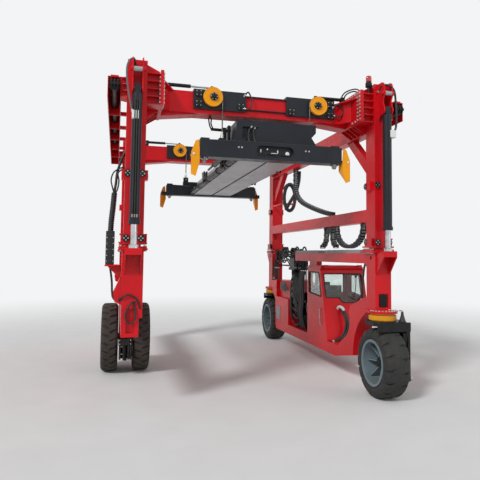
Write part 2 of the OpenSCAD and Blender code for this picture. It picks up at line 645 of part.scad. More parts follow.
// Bracket with a bolted end flange and level stiffeners, on the side of a mast
module beam_bracket(reach) {
    x0 = mast_w / 2;
    z0 = cross_z;
    z1 = cross_z + cross_h;
    y0 = -mast_d / 2;
    y1 = cross_in + cross_d / 2 + 20;
    block([x0 + reach - 25, x0 + reach], [y0, y1], [z0 - 80, z1 + 100]);
    for (z = [z0 - 80, z0 + 45, z0 + 165, z0 + 285, z1 + 40])
        block([x0, x0 + reach - 24], [y0 + 25, -y0], [z, z + 18]);
    // web behind the mast's front face, with a sloped top
    end_plate(y0 + 120, 20, [[x0, z0 - 80], [x0 + reach - 24, z0 - 80], [x0 + reach - 24, z1 + 100], [x0, mast_top_z - 10]]);
    // deck plate over the side beam and its stiffeners
    block([x0, x0 + reach - 24], [-y0 - 1, y1], [z0 - 20, z0]);
    block([x0, x0 + 20], [-y0 - 1, y1], [z0 - 1, z1]);
    for (y = [-y0 + 150:155:y1 - 20]) {
        block([x0 + 19, x0 + reach - 24], [y, y + 16], [z0 - 1, z1]);
        // fins down the side beam's inner face
        end_plate(y, 16, [[x0, z0 - side_h + 10], [x0 + reach - 24, z0 - 79], [x0 + reach - 24, z0 - 19], [x0, z0 - 19]]);
    }
    end_plate(-y0 + 60, 16, [[x0, z0 - side_h + 10], [x0 + reach - 24, z0 - 79], [x0 + reach - 24, z0 - 19], [x0, z0 - 19]]);
}

module outer_masts() color(red) placed() for (across = [left, right], along = [near, far])
    translate([across * leg_x, along * leg_y, 0])
        mirror([across == left ? 1 : 0, 0, 0]) mirror([0, along == far ? 1 : 0, 0]) outer_mast();

// Brackets at the mast heads: inboard for a cross beam, outboard ribs for the outer channel
module beam_brackets() color(red) placed() for (across = [left, right], along = [near, far])
    translate([across * leg_x, along * leg_y, 0])
        mirror([across == left ? 1 : 0, 0, 0]) mirror([0, along == far ? 1 : 0, 0]) {
            mirror([1, 0, 0]) beam_bracket(stub);
            for (k = [0:3]) translate([0, 0, channel_z + 6 + k * (channel_h - 30) / 3]) linear_extrude(18)
                polygon([[mast_w / 2, -mast_d / 2 + 20], [mast_w / 2, mast_d / 2 - 10],
                    [channel_in, mast_d / 2 - 60], [channel_in, -mast_d / 2 + 60]]);
            for (y = [-70, 60]) block([mast_w / 2, channel_in], [y, y + 16],
                [channel_z + 6, channel_z + channel_h - 12]);
        }

// Hoist cylinders that lie in the outer channels, with a forked end and a round cap at the near end
module hoist_cylinders() color(black) placed() for (across = [left, right]) mirror([across == left ? 1 : 0, 0, 0]) {
    p = [leg_x + channel_in + channel_w / 2, -leg_y - 130, channel_z + channel_h / 2];
    bar_y([p[0], p[1], p[2]], leg_pitch - 1400, 120);
    bar_y([p[0], p[1] - 20, p[2]], 40, 150);
    for (x = [-58, -12, 34]) side_plate(p[0] + x, 24, soft([[p[1] - 70, p[2] + 20], [p[1] - 20, p[2] + 110],
        [p[1] + 20, p[2] + 110], [p[1] + 20, p[2] - 60], [p[1] - 20, p[2] - 60]], 20, 2));
    bar_x([p[0] - 75, p[1] - 34, p[2] + 24], 150, 40);
}

// Wear-pad housings on the masts
module mast_pads() placed() {
    for (across = [left, right], along = [near, far])
        translate([across * leg_x, along * leg_y, 0]) mirror([0, along == far ? 1 : 0, 0]) {
            for (z = [collar_z + 90, 3570], x = [-108, 108])
                color(black) bar_y([x, -mast_d / 2 - 22, z], 22, 74);
            for (side = [-1, 1]) color(red)
                block([min(side * (mast_w / 2), side * (mast_w / 2 + 50)), max(side * (mast_w / 2), side * (mast_w / 2 + 50))],
                    [-80, 80], [3490, 3640]);
        }
}

// Top side beam, knee braces and the ribbed outer channel of one side, drawn for the right
module side_frame() {
    y0 = -leg_y + mast_d / 2;
    x0 = beam_in;
    xc = leg_x + channel_in;
    rib_pitch = (leg_pitch + 60) / channel_bays;
    block([x0, x0 + side_w], [y0, -y0], [side_z, side_z + side_h]);
    for (side = [near, far]) mirror([0, side == far ? 1 : 0, 0])
        side_plate(x0 + 40, side_w - 80, [[y0, side_z - 760], [y0, side_z - 520], [y0 + 625, side_z], [y0 + 880, side_z]]);
    hole = [xc + channel_w / 2, channel_z + channel_h / 2];
    difference() {
        block([xc, xc + channel_w], [-leg_y - 90, leg_y + 90], [channel_z, channel_z + channel_h]);
        block([xc + 12, xc + channel_w - 12], [-leg_y - 91, leg_y + 72], [channel_z - 1, channel_z + channel_h - 12]);
    }
    block([xc + channel_w / 2 - 60, xc + channel_w / 2 + 60], [-leg_y - 90, -leg_y - 20],
        [channel_z + channel_h - 13, channel_z + channel_h + 20]);
    // ribs that hold the hoist cylinder, and arms to the top side beam
    for (k = [1:channel_bays - 1]) let (y = -leg_y - 30 + k * rib_pitch) {
        difference() {
            block([xc + 11, xc + channel_w - 11], [y - 10, y + 10], [channel_z, channel_z + channel_h - 11]);
            bar_y([hole[0], y - 11, hole[1]], 22, 120 + 2 * fit_gap);
        }
        block([x0 + side_w - 1, xc + 1], [y - 35, y + 35], [channel_z, side_z + side_h + 55]);
        block([x0 + side_w - 60, x0 + side_w], [y - 35, y + 35], [side_z + side_h - 1, side_z + side_h + 55]);
    }
}

module side_frames() color(red) placed() for (across = [left, right]) mirror([across == left ? 1 : 0, 0, 0]) side_frame();

// Cross beam with flared ends that reach back to the masts, drawn for the near side
module crossbeam() {
    end = cross_half - 25;
    y0 = near_cross_y;
    translate([0, 0, cross_z]) linear_extrude(cross_h) polygon([[-end, y0 - 230], [-end + cross_flare, y0],
        [end - cross_flare, y0], [end, y0 - 230], [end, y0 + cross_d], [-end, y0 + cross_d]]);
    for (s = [left, right]) mirror([s == left ? 1 : 0, 0, 0]) {
        block([end, end + 25], [-leg_y - mast_d / 2, y0 + cross_d + 20], [cross_z - 80, cross_z + cross_h + 100]);
        // haunch under the end
        end_plate(y0 + 40, cross_d - 80, [[end - 620, cross_z + 1], [end - 560, cross_z - 12], [end + 1, cross_z - 80],
            [end + 1, cross_z + 1]]);
        // gusset from the flange back to the beam's front face
        translate([0, 0, cross_z + cross_h - 20]) linear_extrude(20) polygon([[end - cross_flare - 60, y0 + 1], [end + 1, y0 + 1],
            [end + 1, -leg_y - 60]]);
    }
}

module near_crossbeam() color(red) placed() crossbeam();
module far_crossbeam() color(red) placed() mirror([0, 1, 0]) crossbeam();

module middle_beams() color(red) placed() for (s = [left, right]) mirror([s == left ? 1 : 0, 0, 0]) {
    y0 = -leg_y + mast_d / 2;
    block([beam_in, beam_in + 180], [y0, -y0], [mid_z, mid_z + mid_h]);
    for (side = [near, far]) mirror([0, side == far ? 1 : 0, 0])
        side_plate(beam_in + 60, 60, [[y0, mid_z - 170], [y0 + 60, mid_z - 60], [y0 + 220, mid_z], [y0, mid_z]]);
}

module lift_barrels() color(dark_grey) placed() for (across = [left, right], along = [near, far])
    translate([across * leg_x, along * cyl_y, 0]) {
        difference() {
            union() {
                bar_z([0, 0, barrel_z], barrel_top_z - barrel_z, barrel_d);
                bar_z([0, 0, barrel_z], 60, barrel_d + 24);
            }
            bar_z([0, 0, barrel_z + 50], barrel_top_z - barrel_z - 80, barrel_bore);
            bar_z([0, 0, barrel_z - 1], 60, rod_d + 2);
        }
        difference() {
            block([-45, 45], [-50, 50], [barrel_top_z, eye_z + 50]);
            bar_x([-46, 0, eye_z], 92, 60);
        }
    }

// Side-shift cylinders on top of the cross beams
shift_z = cross_z + cross_h + 100;
shift_y = [near_cross_y + 60, far_cross_y + 60];
shift_l = 420;
rod_l = 430;
rod_shift_d = 30;
module shift_cylinders() placed() for (y = shift_y, s = [left, right]) mirror([s == left ? 1 : 0, 0, 0]) {
    x1 = cross_half - 105;
    color(black) difference() {
        bar_x([x1 - shift_l, y, shift_z], shift_l + 20, 62);
        bar_x([x1 - shift_l - 1, y, shift_z], shift_l - 20, rod_shift_d + 2 * fit_gap);
    }
    color(red) difference() {
        block([x1, x1 + 70], [y - 45, y + 45], [cross_z + cross_h, shift_z + 40]);
        bar_x([x1 - 1, y, shift_z], 62, 64);
    }
}

// Beacon on a base beside the near right mast head
module beacon() placed() {
    p = [leg_x - mast_w / 2 - 80, -leg_y - 110, cross_z + cross_h + 58];
    color(black) {
        bar_z(p, 130, 56);
        bar_z([p[0], p[1], p[2] + 110], 75, 116);
        bar_z([p[0], p[1], p[2] + 184], 26, 90);
    }
    color(red) bar_z([p[0], p[1], p[2] + 210], 105, 100);
}

// Energy chains of the right side, as links' outer shape: a loop from the middle beam to the near mast over
// the deck beam's tray, the flared bracket beside it, and the long bow up to the top side beam
tray_z = deck_z + deck_h + 60;
module chain(x, w, points, t) side_plate(x, w, band(points, t));
module energy_chain() color(black) placed() {
    x = beam_in + 40;
    y1 = -leg_y + mast_d / 2;
    chain(x, 110, concat([[y1 + 290, mid_z]], bend([y1 + 290, mid_z - 40], [y1 + 290, tray_z - 60], [-1400, tray_z - 60],
        [-1400, mid_z - 40], 18), [[-1400, mid_z]]), 70);
    for (p = [[-1190, -1340, 40], [-850, -640, -40]]) chain(x + 5, 100,
        concat([[p[0], mid_z]], bend([p[0], mid_z - 40], [p[0], mid_z - 230], [p[0] + p[2], mid_z - 330], [p[1] - p[2], tray_z + 70], 8)), 80);
    block([x + 20, x + 90], [-1200, -840], [mid_z - 130, mid_z]);
    chain(x, 110, concat(bend([-1195, mid_z + mid_h + 47], [-900, mid_z + mid_h + 60], [300, 3500], [700, 3640], 12),
        bend([790, 3680], [1050, 3780], [1200, 3900], [1200, 4200], 8), [[1200, side_z]]), 90);
}

// Side-shift carriages on one cross beam: two hooked frames joined by tie rods. They sit off the
// machine's middle by the spreader's sideways place.
module carriage_pair(y) {
    g = run_gap;
    z0 = cross_z + 70;
    z1 = cross_z + cross_h;
    for (s = [left, right]) translate([spreader_x + s * carriage_x, 0, 0]) {
        difference() {
            block([-carriage_w / 2, carriage_w / 2], [y - g - carriage_t, y + cross_d + g + carriage_t],
                [z0, z1 + g + 34]);
            block([-carriage_w / 2 - 1, carriage_w / 2 + 1], [y - g, y + cross_d + g], [z0 - 1, z1 + fit_gap]);
        }
    }
    // lugs and rods of the side-shift cylinders, over the sheaves
    for (s = [left, right]) translate([spreader_x + s * sheave_x, y + 60, 0]) {
        block([-25, 25], [-25, 25], [z1 + g + 33, shift_z + 28]);
        bar_x([s == left ? -rod_l : 0, 0, shift_z], rod_l, rod_shift_d);
    }
    for (z = [z1 - 20, z0 + 50]) bar_x([spreader_x - carriage_x + carriage_w / 2 - 1, y - g - carriage_t / 2, z],
        2 * carriage_x - carriage_w + 2, 26);
}
module shift_carriages() color(dark_grey) placed() for (y = [near_cross_y, far_cross_y]) carriage_pair(y);

// Grooved hoist sheaves on the front of each carriage plate
module sheave() rotate([90, 0, 0]) rotate_extrude() polygon([[22, -32], [70, -32], [70, -22],
    [sheave_d / 2 - 30, -22], [sheave_d / 2, -28], [sheave_d / 2, -16], [sheave_d / 2 - 18, 0],
    [sheave_d / 2, 16], [sheave_d / 2, 28], [sheave_d / 2 - 30, 22], [70, 22], [70, 32], [22, 32]]);
rope_out = run_gap + carriage_t + 42;
module hoist_sheaves() placed() for (y = [near_cross_y, far_cross_y], s = [left, right])
    translate([spreader_x + s * sheave_x, y - rope_out, sheave_z]) {
        color(yellow) sheave();
        color(steel) bar_y([0, -44, 0], rope_out - run_gap - carriage_t + 44, 44);
    }

// the rope hangs in its sheave's groove
rope_x = sheave_x - sheave_d / 2 + 1;
rope_end_z = spine_top + 110;
module hoist_ropes() color(steel) placed() for (y = [near_cross_y, far_cross_y], s = [left, right])
    bar_z([spreader_x + s * rope_x, y - rope_out, rope_end_z], sheave_z - rope_end_z, rope_d);

// Spreader, drawn about its own middle

module on_spreader() placed() translate([spreader_x, spreader_y, 0]) children();

module spreader_beams() on_spreader() {
    end = lock_half_y - bar_w / 2;
    color(pale) for (x = [-main_half, 25]) block([x, x + main_half - 25], [-end, end], [bar_z + 30, spine_top]);
    color(black) {
        for (y = [-2100, -700, 700, 2100]) block([-25, 25], [y, y + 160], [bar_z + 90, spine_top - 20]);
        bar_y([-main_half - 55, -end, bar_z + 85], 2 * end, 110);
    }
}

// End bars, each with an ear and a pin for the guide at either end
pin_out = 97;
pin_d = 26;
slot = [320, 165];
module slot_shape(grow = 0) hull() for (x = [-(slot[0] - slot[1] / 2), slot[0] - slot[1] / 2])
    translate([x, 0]) circle(d = slot[1] + 2 * grow, $fn = 32);
module end_bars() color(dark_grey) on_spreader() for (along = [near, far]) {
    translate([0, along * lock_half_y, 0]) {
        difference() {
            union() {
                block([-bar_l / 2, bar_l / 2], [-bar_w / 2, bar_w / 2], [bar_z, bar_top]);
                translate([30, along * (bar_w / 2 + 2), bar_top - bar_h / 2 + 8]) rotate([90, 0, 0])
                    linear_extrude(8, center = true) slot_shape(14);
            }
            translate([30, along * bar_w / 2, bar_top - bar_h / 2 + 8]) rotate([90, 0, 0])
                linear_extrude(120, center = true) slot_shape();
        }
        // housings of the twistlocks on top of the bar's ends
        for (x = [-lock_half_x, lock_half_x]) block([x - 70, x + 70], [-70, 70], [bar_top - 1, bar_top + 40]);
    }
    for (across = [left, right]) at_corner(across, along) {
        y0 = -lock_half_y - bar_w / 2 - run_gap;
        block([bar_l / 2 - 1, bar_l / 2 + run_gap + pin_out + 30], [y0 + 166, y0 + 196], [guide_z - 30, guide_z + 60]);
        bar_y([bar_l / 2 + run_gap + pin_out, y0 - 20, guide_z], 187, pin_d);
    }
}

// Housing behind the near end bar, on the main beams; its front plate reaches past the right rope
module headblock() color(dark_grey) on_spreader() {
    z0 = spine_top;
    y0 = -lock_half_y + bar_w / 2 + 20;
    window = [[-470, z0 + 100], [-470, z0 + 310], [-180, z0 + 310]];
    difference() {
        union() {
            end_plate(y0, 20, [[-600, z0], [-560, z0 + 420], [850, z0 + 420], [850, z0 + 280], [770, z0 + 190],
                [900, z0]]);
            end_plate(y0 + 20, 880, [[-600, z0], [-560, z0 + 420], [700, z0 + 420], [700, z0]]);
        }
        end_plate(y0 - 1, 61, window);
    }
}

module twistlocks() color(steel) on_spreader() for (x = [-lock_half_x, lock_half_x], y = [-lock_half_y, lock_half_y])
    translate([x, y, bar_z]) {
        translate([0, 0, -24]) cylinder(h = 24, d = 124);
        translate([0, 0, -41]) cylinder(h = 18, d = 60);
        translate([0, 0, -75]) intersection() {
            cylinder(h = 35, d1 = 50, d2 = 104);
            block([-32, 32], [-60, 60], [0, 36]);
        }
    }

// Arms on the main beams that take the rope ends
module spreader_lugs() color(black) on_spreader() for (y = [near_cross_y, far_cross_y], s = [left, right])
    translate([0, y - rope_out - spreader_y, 0]) mirror([s == left ? 1 : 0, 0, 0]) {
        block([main_half, rope_x + 70], [-60, 60], [spine_top - 100, spine_top]);
        block([rope_x - 60, rope_x + 60], [-45, 45], [spine_top - 1, rope_end_z]);
    }

// Corner guide: a bent plate that turns up about a pin on the end bar. Drawn for the near right corner.
module guide() {
    x0 = bar_l / 2 + run_gap;
    y0 = -lock_half_y - bar_w / 2 - run_gap;
    // heights of the plate's corners above the pin
    top = guide_drop - 10;
    low = -355;
    difference() {
        union() {
            bar_y([x0 + pin_out, y0 - 14, guide_z], 174, 60);
            end_plate(y0 - 14, 14, soft([[x0 + 15, guide_z + top], [x0 + 70, guide_z + top - 25], [x0 + 137, guide_z + 25],
                [x0 + 137, guide_z + low + 30], [x0 + 60, guide_z + low], [x0, guide_z - 130], [x0, guide_z + 30]], 8, 2));
            // lead-in wing, bent outward towards its foot
            intersection() {
                end_plate(y0 - 14, 170, [[x0, guide_z + 10], [x0 + 14, guide_z + 10], [x0 + 14, guide_z - 130],
                    [x0 + 74, guide_z + low], [x0 + 60, guide_z + low], [x0, guide_z - 130]]);
                side_plate(x0 - 10, 200, [[y0 - 14, guide_z + 10], [y0 + 120, guide_z - 20], [y0 + 156, guide_z - 60],
                    [y0 + 156, guide_z - 150], [y0 - 14, guide_z + low]]);
            }
            block([x0 + 7, x0 + pin_out], [y0 + 60, y0 + 74], [guide_z - 25, guide_z + 5]);
        }
        bar_y([x0 + pin_out, y0 - 15, guide_z], 176, pin_d + 2 * fit_gap);
    }
}
module near_right_guide() color(yellow) on_spreader() guide();
module near_left_guide() color(yellow) on_spreader() mirror([1, 0, 0]) guide();
module far_right_guide() color(yellow) on_spreader() mirror([0, 1, 0]) guide();
module far_left_guide() color(yellow) on_spreader() mirror([1, 0, 0]) mirror([0, 1, 0]) guide();

// Cab-side wheels

// Fork under the slewing ring: a top plate and one arm on the outer side, about its own slewing axis
arm_x = tyre_w / 2 + 30;
stub_axle_d = 110;
twin_axle_d = 130;
module fork() color(black) {
    translate([0, 0, fork_top - fork_t + 50]) linear_extrude(fork_t - 50) polygon([[-150, -250],
        [arm_x + 10, -250], [arm_x + 90, -170], [arm_x + 90, 170], [arm_x + 10, 250], [-150, 250], [-240, 150],
        [-240, -150]]);
    side_plate(arm_x, 90, [[-170, fork_top - fork_t + 50], [-250, fork_top - 200], [-230, fork_top - 330],
        [-140, tyre_r - 150], [140, tyre_r - 150], [230, fork_top - 330], [250, fork_top - 200],
        [170, fork_top - fork_t + 50]]);
    bar_x([-46, 0, tyre_r], arm_x + 47, stub_axle_d);
    bar_x([-66, 0, tyre_r], 20, 180);
    bar_x([arm_x + 89, 0, tyre_r], 40, 220);
}
module near_fork() placed() translate([leg_x, -slew_y, 0]) fork();
module far_fork() placed() translate([leg_x, slew_y, 0]) fork();

// Deep dished rim: the disc lies towards the outer side and ribs run from the hub to the barrel.
// The axis is along X, centred on the tyre.
rim_ribs = 7;
module rim(d, w, hub_d) {
    barrel = d / 2 - 20;
    disc = w / 2 - 120;
    rotate([0, 90, 0]) rotate_extrude() polygon([[d / 2 - 34, -w / 2 + 12], [d / 2 + 10, -w / 2 + 12], [d / 2 + 10, -w / 2 + 26],
        [d / 2, -w / 2 + 34], [d / 2, -w / 2 + 70], [barrel, -w / 2 + 82], [barrel, w / 2 - 82], [d / 2, w / 2 - 70],
        [d / 2, w / 2 - 34], [d / 2 + 10, w / 2 - 26], [d / 2 + 10, w / 2 - 14], [barrel - 18, w / 2 - 14], [barrel - 18, disc + 20], [hub_d / 2 + 44, disc + 20], [hub_d / 2 + 40, 60],
        [hub_d / 2, 60], [hub_d / 2, -40], [hub_d / 2 + 40, -40], [hub_d / 2 + 44, disc], [barrel - 18, disc],
        [barrel - 18, -w / 2 + 30]]);
    for (k = [0:rim_ribs - 1]) rotate([k * 360 / rim_ribs + 13, 0, 0]) end_plate(-7, 14,
        [[disc + 1, hub_d / 2 + 30], [disc + 1, barrel - 10], [-w / 2 + 90, barrel - 10], [-30, hub_d / 2 + 30]]);
}
module near_rim() color(pale) placed() translate([leg_x, -slew_y, tyre_r]) rim(rim_d, tyre_w, stub_axle_d + 2 * fit_gap);
module far_rim() color(pale) placed() translate([leg_x, slew_y, tyre_r]) rim(rim_d, tyre_w, stub_axle_d + 2 * fit_gap);

module tyre_body(d, w, bead_d) rotate([0, 90, 0]) rotate_extrude($fn = 36) polygon([[bead_d / 2 + fit_gap, -w / 2 + 42],
    [bead_d / 2 + 60, -w / 2], [d / 2 - 55, -w / 2], [d / 2, -w / 2 + 50], [d / 2, w / 2 - 50], [d / 2 - 55, w / 2],
    [bead_d / 2 + 60, w / 2], [bead_d / 2 + fit_gap, w / 2 - 42]]);

// Solid tyre with slanted grooves across its shoulders, worn smooth between them
shoulder_grooves = 16;
module tyre(d, w, bead_d) difference() {
    tyre_body(d, w, bead_d);
    for (k = [0:shoulder_grooves - 1], s = [-1, 1]) rotate([(k + 0.5 + s * 0.25) * 360 / shoulder_grooves, 0, 0])
        translate([s * (w / 2 - 36), 0, d / 2]) rotate([0, 0, s * 14]) cube([130, 20, 60], center = true);
}

// Lug tyre: two rows of slanted lugs that meet in a chevron, parted by grooves, with one lug at the bottom
twin_lugs = 20;
module lug_tyre(d, w, bead_d) difference() {
    tyre_body(d, w, bead_d);
    for (k = [0:twin_lugs - 1], s = [-1, 1]) rotate([(k + 0.5) * 360 / twin_lugs, 0, 0])
        translate([s * (w / 4 + 10), 0, d / 2]) rotate([0, 0, s * 24]) cube([w / 2 + 50, 24, 56], center = true);
}
module near_tyre() color(rubber) placed() translate([leg_x, -slew_y, tyre_r]) tyre(tyre_d, tyre_w, rim_d);
module far_tyre() color(rubber) placed() translate([leg_x, slew_y, tyre_r]) tyre(tyre_d, tyre_w, rim_d);

twin_rim_d = 620;
module twin_rims() color(red) placed() for (s = [left, right])
    translate([twin_x + s * twin_gauge / 2, twin_y, twin_r]) rim(twin_rim_d, twin_w, twin_axle_d + 2 * fit_gap);
module twin_tyres() color(rubber) placed() for (s = [left, right])
    translate([twin_x + s * twin_gauge / 2, twin_y, twin_r]) lug_tyre(twin_d, twin_w, twin_rim_d);

right_lower_beam();
left_lower_beam();
near_right_foot();
far_right_foot();
near_left_foot();
far_left_foot();
deck_beam();
cab_roof();
valve_bank();
inner_masts();
lift_rods();
slewing_rings();
cab_shell();
cab_windows();
cab_seat();
cab_door();
door_window();
engine();
cooling_pack();
fuel_tank();
pipework();
twin_axle();
outer_masts();
beam_brackets();
hoist_cylinders();
mast_pads();
side_frames();
near_crossbeam();
far_crossbeam();
middle_beams();
lift_barrels();
shift_cylinders();
beacon();
energy_chain();
shift_carriages();
hoist_sheaves();
hoist_ropes();
spreader_beams();
end_bars();
headblock();
twistlocks();
spreader_lugs();
near_left_guide();
near_right_guide();
far_left_guide();
far_right_guide();
near_fork();
far_fork();
near_rim();
far_rim();
near_tyre();
far_tyre();
twin_rims();
twin_tyres();
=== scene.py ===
# Looks of a three-wheeled straddle carrier: enamel, rubber, glass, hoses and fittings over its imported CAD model.
# Metres, +Z up, X across towards the cab, Y along travel with the near side at -Y.
import math

import bpy
import numpy as np
from mathutils import Matrix


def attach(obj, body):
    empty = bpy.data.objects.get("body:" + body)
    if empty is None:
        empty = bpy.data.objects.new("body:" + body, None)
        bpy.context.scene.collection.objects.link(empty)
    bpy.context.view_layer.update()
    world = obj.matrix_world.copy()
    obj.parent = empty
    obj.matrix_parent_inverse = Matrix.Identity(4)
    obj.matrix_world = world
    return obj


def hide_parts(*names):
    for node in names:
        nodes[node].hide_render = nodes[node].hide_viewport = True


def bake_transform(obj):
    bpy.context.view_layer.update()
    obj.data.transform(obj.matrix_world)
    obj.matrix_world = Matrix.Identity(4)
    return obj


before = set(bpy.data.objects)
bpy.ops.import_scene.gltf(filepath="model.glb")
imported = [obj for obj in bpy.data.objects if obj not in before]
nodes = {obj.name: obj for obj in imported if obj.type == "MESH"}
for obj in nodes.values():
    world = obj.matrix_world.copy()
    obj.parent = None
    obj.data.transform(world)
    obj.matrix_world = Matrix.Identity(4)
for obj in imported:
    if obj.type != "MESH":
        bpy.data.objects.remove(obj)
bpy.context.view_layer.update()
print("stage: model loaded with", len(nodes), "nodes")

# Camera, lamps and floor

view = {
    "place": (-2.512, -11.424, 2.365),
    "turn": (0.263, 0.069, 0.01),  # radians: to the right of +Y, up, and about its own line
    "lens": 39.79,  # mm on a 36 mm sensor
    "shift": (-0.04146, -0.04625),
    "farthest": 400,
}


def placed(name, data, columns, place):
    # an object whose own x, y and z point along the three columns
    thing = bpy.data.objects.new(name, data)
    turned = np.eye(4)
    turned[:3, :3] = np.stack(columns, 1)
    turned[:3, 3] = place
    thing.matrix_world = Matrix(turned.tolist())
    bpy.context.scene.collection.objects.link(thing)
    return thing


def makeCamera():
    yaw, pitch, roll = view["turn"]
    ahead = np.array([math.sin(yaw) * math.cos(pitch), math.cos(yaw) * math.cos(pitch), math.sin(pitch)])
    level = np.array([math.cos(yaw), -math.sin(yaw), 0.0])
    over = np.cross(level, ahead)
    across = math.cos(roll) * level + math.sin(roll) * over
    up = -math.sin(roll) * level + math.cos(roll) * over
    data = bpy.data.cameras.new("camera")
    data.lens, data.sensor_width = view["lens"], 36.0
    data.shift_x, data.shift_y = view["shift"]
    data.clip_end = view["farthest"]
    bpy.context.scene.camera = placed("camera", data, (across, up, -ahead), view["place"])


def linear(hexColour):  # sRGB hex to linear: the 2.4 power curve with its straight foot
    parts = [int(hexColour[k:k + 2], 16) / 255 for k in (1, 3, 5)]
    return (*[p / 12.92 if p <= 0.04045 else ((p + 0.055) / 1.055) ** 2.4 for p in parts], 1.0)


def addNode(tree, kind, feeds=(), **settings):
    # a fed node gives its first open output. In MapRange, inputs 1 to 4 are the range taken and the range given; in a
    # colour Mix, inputs 0, 6 and 7 are the share and the two colours
    node = tree.nodes.new("ShaderNode" + kind)
    for name, value in settings.items():
        setattr(node, name, value)
    for socket, value in dict(feeds).items():
        if isinstance(value, bpy.types.Node):
            value = next(out for out in value.outputs if out.enabled)
        if isinstance(value, bpy.types.NodeSocket):
            tree.links.new(value, node.inputs[socket])
        else:
            node.inputs[socket].default_value = value
    return node


def newMaterial(name):
    # an empty material, its tree, and the object's own coordinates
    material = bpy.data.materials.new(name)
    material.use_nodes = True
    tree = material.node_tree
    tree.nodes.clear()
    return material, tree, addNode(tree, "TexCoord").outputs["Object"]


stageLook = {
    "sky": "#F3F4F5",
    "floor": ("#D9DADA", "#E2E3E3"),
    "skyLight": 0.5,  # what the sky gives to matt surfaces; 1 would light them fully by itself
    "sun": (1.75, 12.0, (-0.6, -0.52, 0.62)),  # strength, width in degrees, where it stands
    "fill": (0.4, 40.0, (0.75, -0.55, 0.35)),
    "fade": (6.0, 20.0),  # metres from the machine over which the floor turns into the sky
    "floorRadius": 120,
    "floorSides": 96,
}


def makeWorld():
    world = bpy.data.worlds.new("studio")
    bpy.context.scene.world = world
    world.use_nodes = True
    tree = world.node_tree
    tree.nodes.clear()
    ray = addNode(tree, "LightPath").outputs
    seen = addNode(tree, "Math", {0: ray["Is Camera Ray"], 1: ray["Is Glossy Ray"]}, operation="MAXIMUM")
    seen = addNode(tree, "Math", {0: seen, 1: ray["Is Transmission Ray"]}, operation="MAXIMUM")
    soft = addNode(tree, "Background", {"Color": linear("#FFFFFF"), "Strength": stageLook["skyLight"]})
    plain = addNode(tree, "Background", {"Color": linear(stageLook["sky"]), "Strength": 1.0})
    both = addNode(tree, "MixShader", {0: seen, 1: soft, 2: plain})
    addNode(tree, "OutputWorld", {"Surface": both})


def makeLamps():
    for name in ("sun", "fill"):
        strength, width, stand = stageLook[name]
        lamp = bpy.data.lights.new(name, "SUN")
        lamp.energy, lamp.angle = strength, math.radians(width)
        n = np.array(stand) / np.linalg.norm(stand)
        side = np.cross([0, 0, 1], n)
        side /= np.linalg.norm(side)
        placed(name, lamp, (side, np.cross(n, side), n), n * 20)


def makeFloor():
    # smooth pale screed, matt, that turns into the sky far out
    screed, tree, spot = newMaterial("paleScreed")
    far = addNode(tree, "VectorMath", {0: spot}, operation="LENGTH")
    low, high = stageLook["fade"]
    share = addNode(tree, "MapRange", {0: far, 1: low, 2: high}, interpolation_type="SMOOTHSTEP")
    cloud = addNode(tree, "TexNoise", {"Vector": spot, "Scale": 1.6, "Detail": 5.0})
    dark, pale = stageLook["floor"]
    shade = addNode(tree, "Mix", {0: cloud, 6: linear(dark), 7: linear(pale)}, data_type="RGBA")
    matt = addNode(tree, "BsdfDiffuse", {"Color": shade})
    glow = addNode(tree, "Emission", {"Color": linear(stageLook["sky"]), "Strength": 1.0})
    both = addNode(tree, "MixShader", {0: share, 1: matt, 2: glow})
    addNode(tree, "OutputMaterial", {"Surface": both})
    radius, sides = stageLook["floorRadius"], stageLook["floorSides"]
    turn = np.linspace(0, 2 * np.pi, sides, endpoint=False)
    rim = radius * np.stack([np.cos(turn), np.sin(turn), np.zeros(sides)], 1)
    mesh = bpy.data.meshes.new("floor")
    mesh.from_pydata(rim.tolist(), [], [list(range(sides))])
    mesh.materials.append(screed)
    floor = bpy.data.objects.new("floor", mesh)
    bpy.context.scene.collection.objects.link(floor)


makeCamera()
makeWorld()
makeLamps()
makeFloor()
bpy.context.scene.view_settings.view_transform = "Standard"
print("stage: camera, lamps and floor set")

# Finishes. Each starts from what the real one is; patterns are in real sizes on Object coordinates.

# Two-pack enamel sprayed on welded steel: gloss with a fine orange peel, a little faded and dusty, edges rubbed paler
enamels = {
    "redEnamel": {"fresh": "#CF0A18", "faded": "#B80D18", "gloss": 0.3, "edge": "#C42A2C", "dust": 0.1},
    "blueBlackEnamel": {"fresh": "#171B22", "faded": "#20242B", "gloss": 0.36, "edge": "#3C4148", "dust": 0.18},
    "blackEnamel": {"fresh": "#0B0C0E", "faded": "#131416", "gloss": 0.38, "edge": "#2C2E32", "dust": 0.2},
    "yellowEnamel": {"fresh": "#F5A208", "faded": "#E3940A", "gloss": 0.3, "edge": "#B98A3A", "dust": 0.15},
    "amberEnamel": {"fresh": "#DD9A18", "faded": "#C88616", "gloss": 0.34, "edge": "#8A6A32", "dust": 0.25},
    "blueGreyEnamel": {"fresh": "#6E7F86", "faded": "#5E6E75", "gloss": 0.36, "edge": "#8B9BA3", "dust": 0.35},
    "paleGreyEnamel": {"fresh": "#A4AAAD", "faded": "#93999C", "gloss": 0.36, "edge": "#C4C8CA", "dust": 0.22},
    "trayGreyEnamel": {"fresh": "#8A8F92", "faded": "#7A8083", "gloss": 0.42, "edge": "#B9BDBF", "dust": 0.3},
}
weather = {
    "fading": 1.3,  # noise per metre: clouds of 0.8 m
    "streaks": (16.0, 16.0, 0.8),  # rain streaks 60 mm wide and 1.2 m long
    "streakColour": "#4A3A34",
    "streakShare": 0.12,
    "grit": 9.0,  # dust in patches of 110 mm
    "gritColour": "#9A8F82",
    "splashTop": 1.5,  # dust thrown up by the wheels thins out up to this height
    "edgeRadius": 0.006,
    "peel": 85.0,  # orange peel is about 3 mm on the real paint and is drawn at 12 mm so that it shows
}


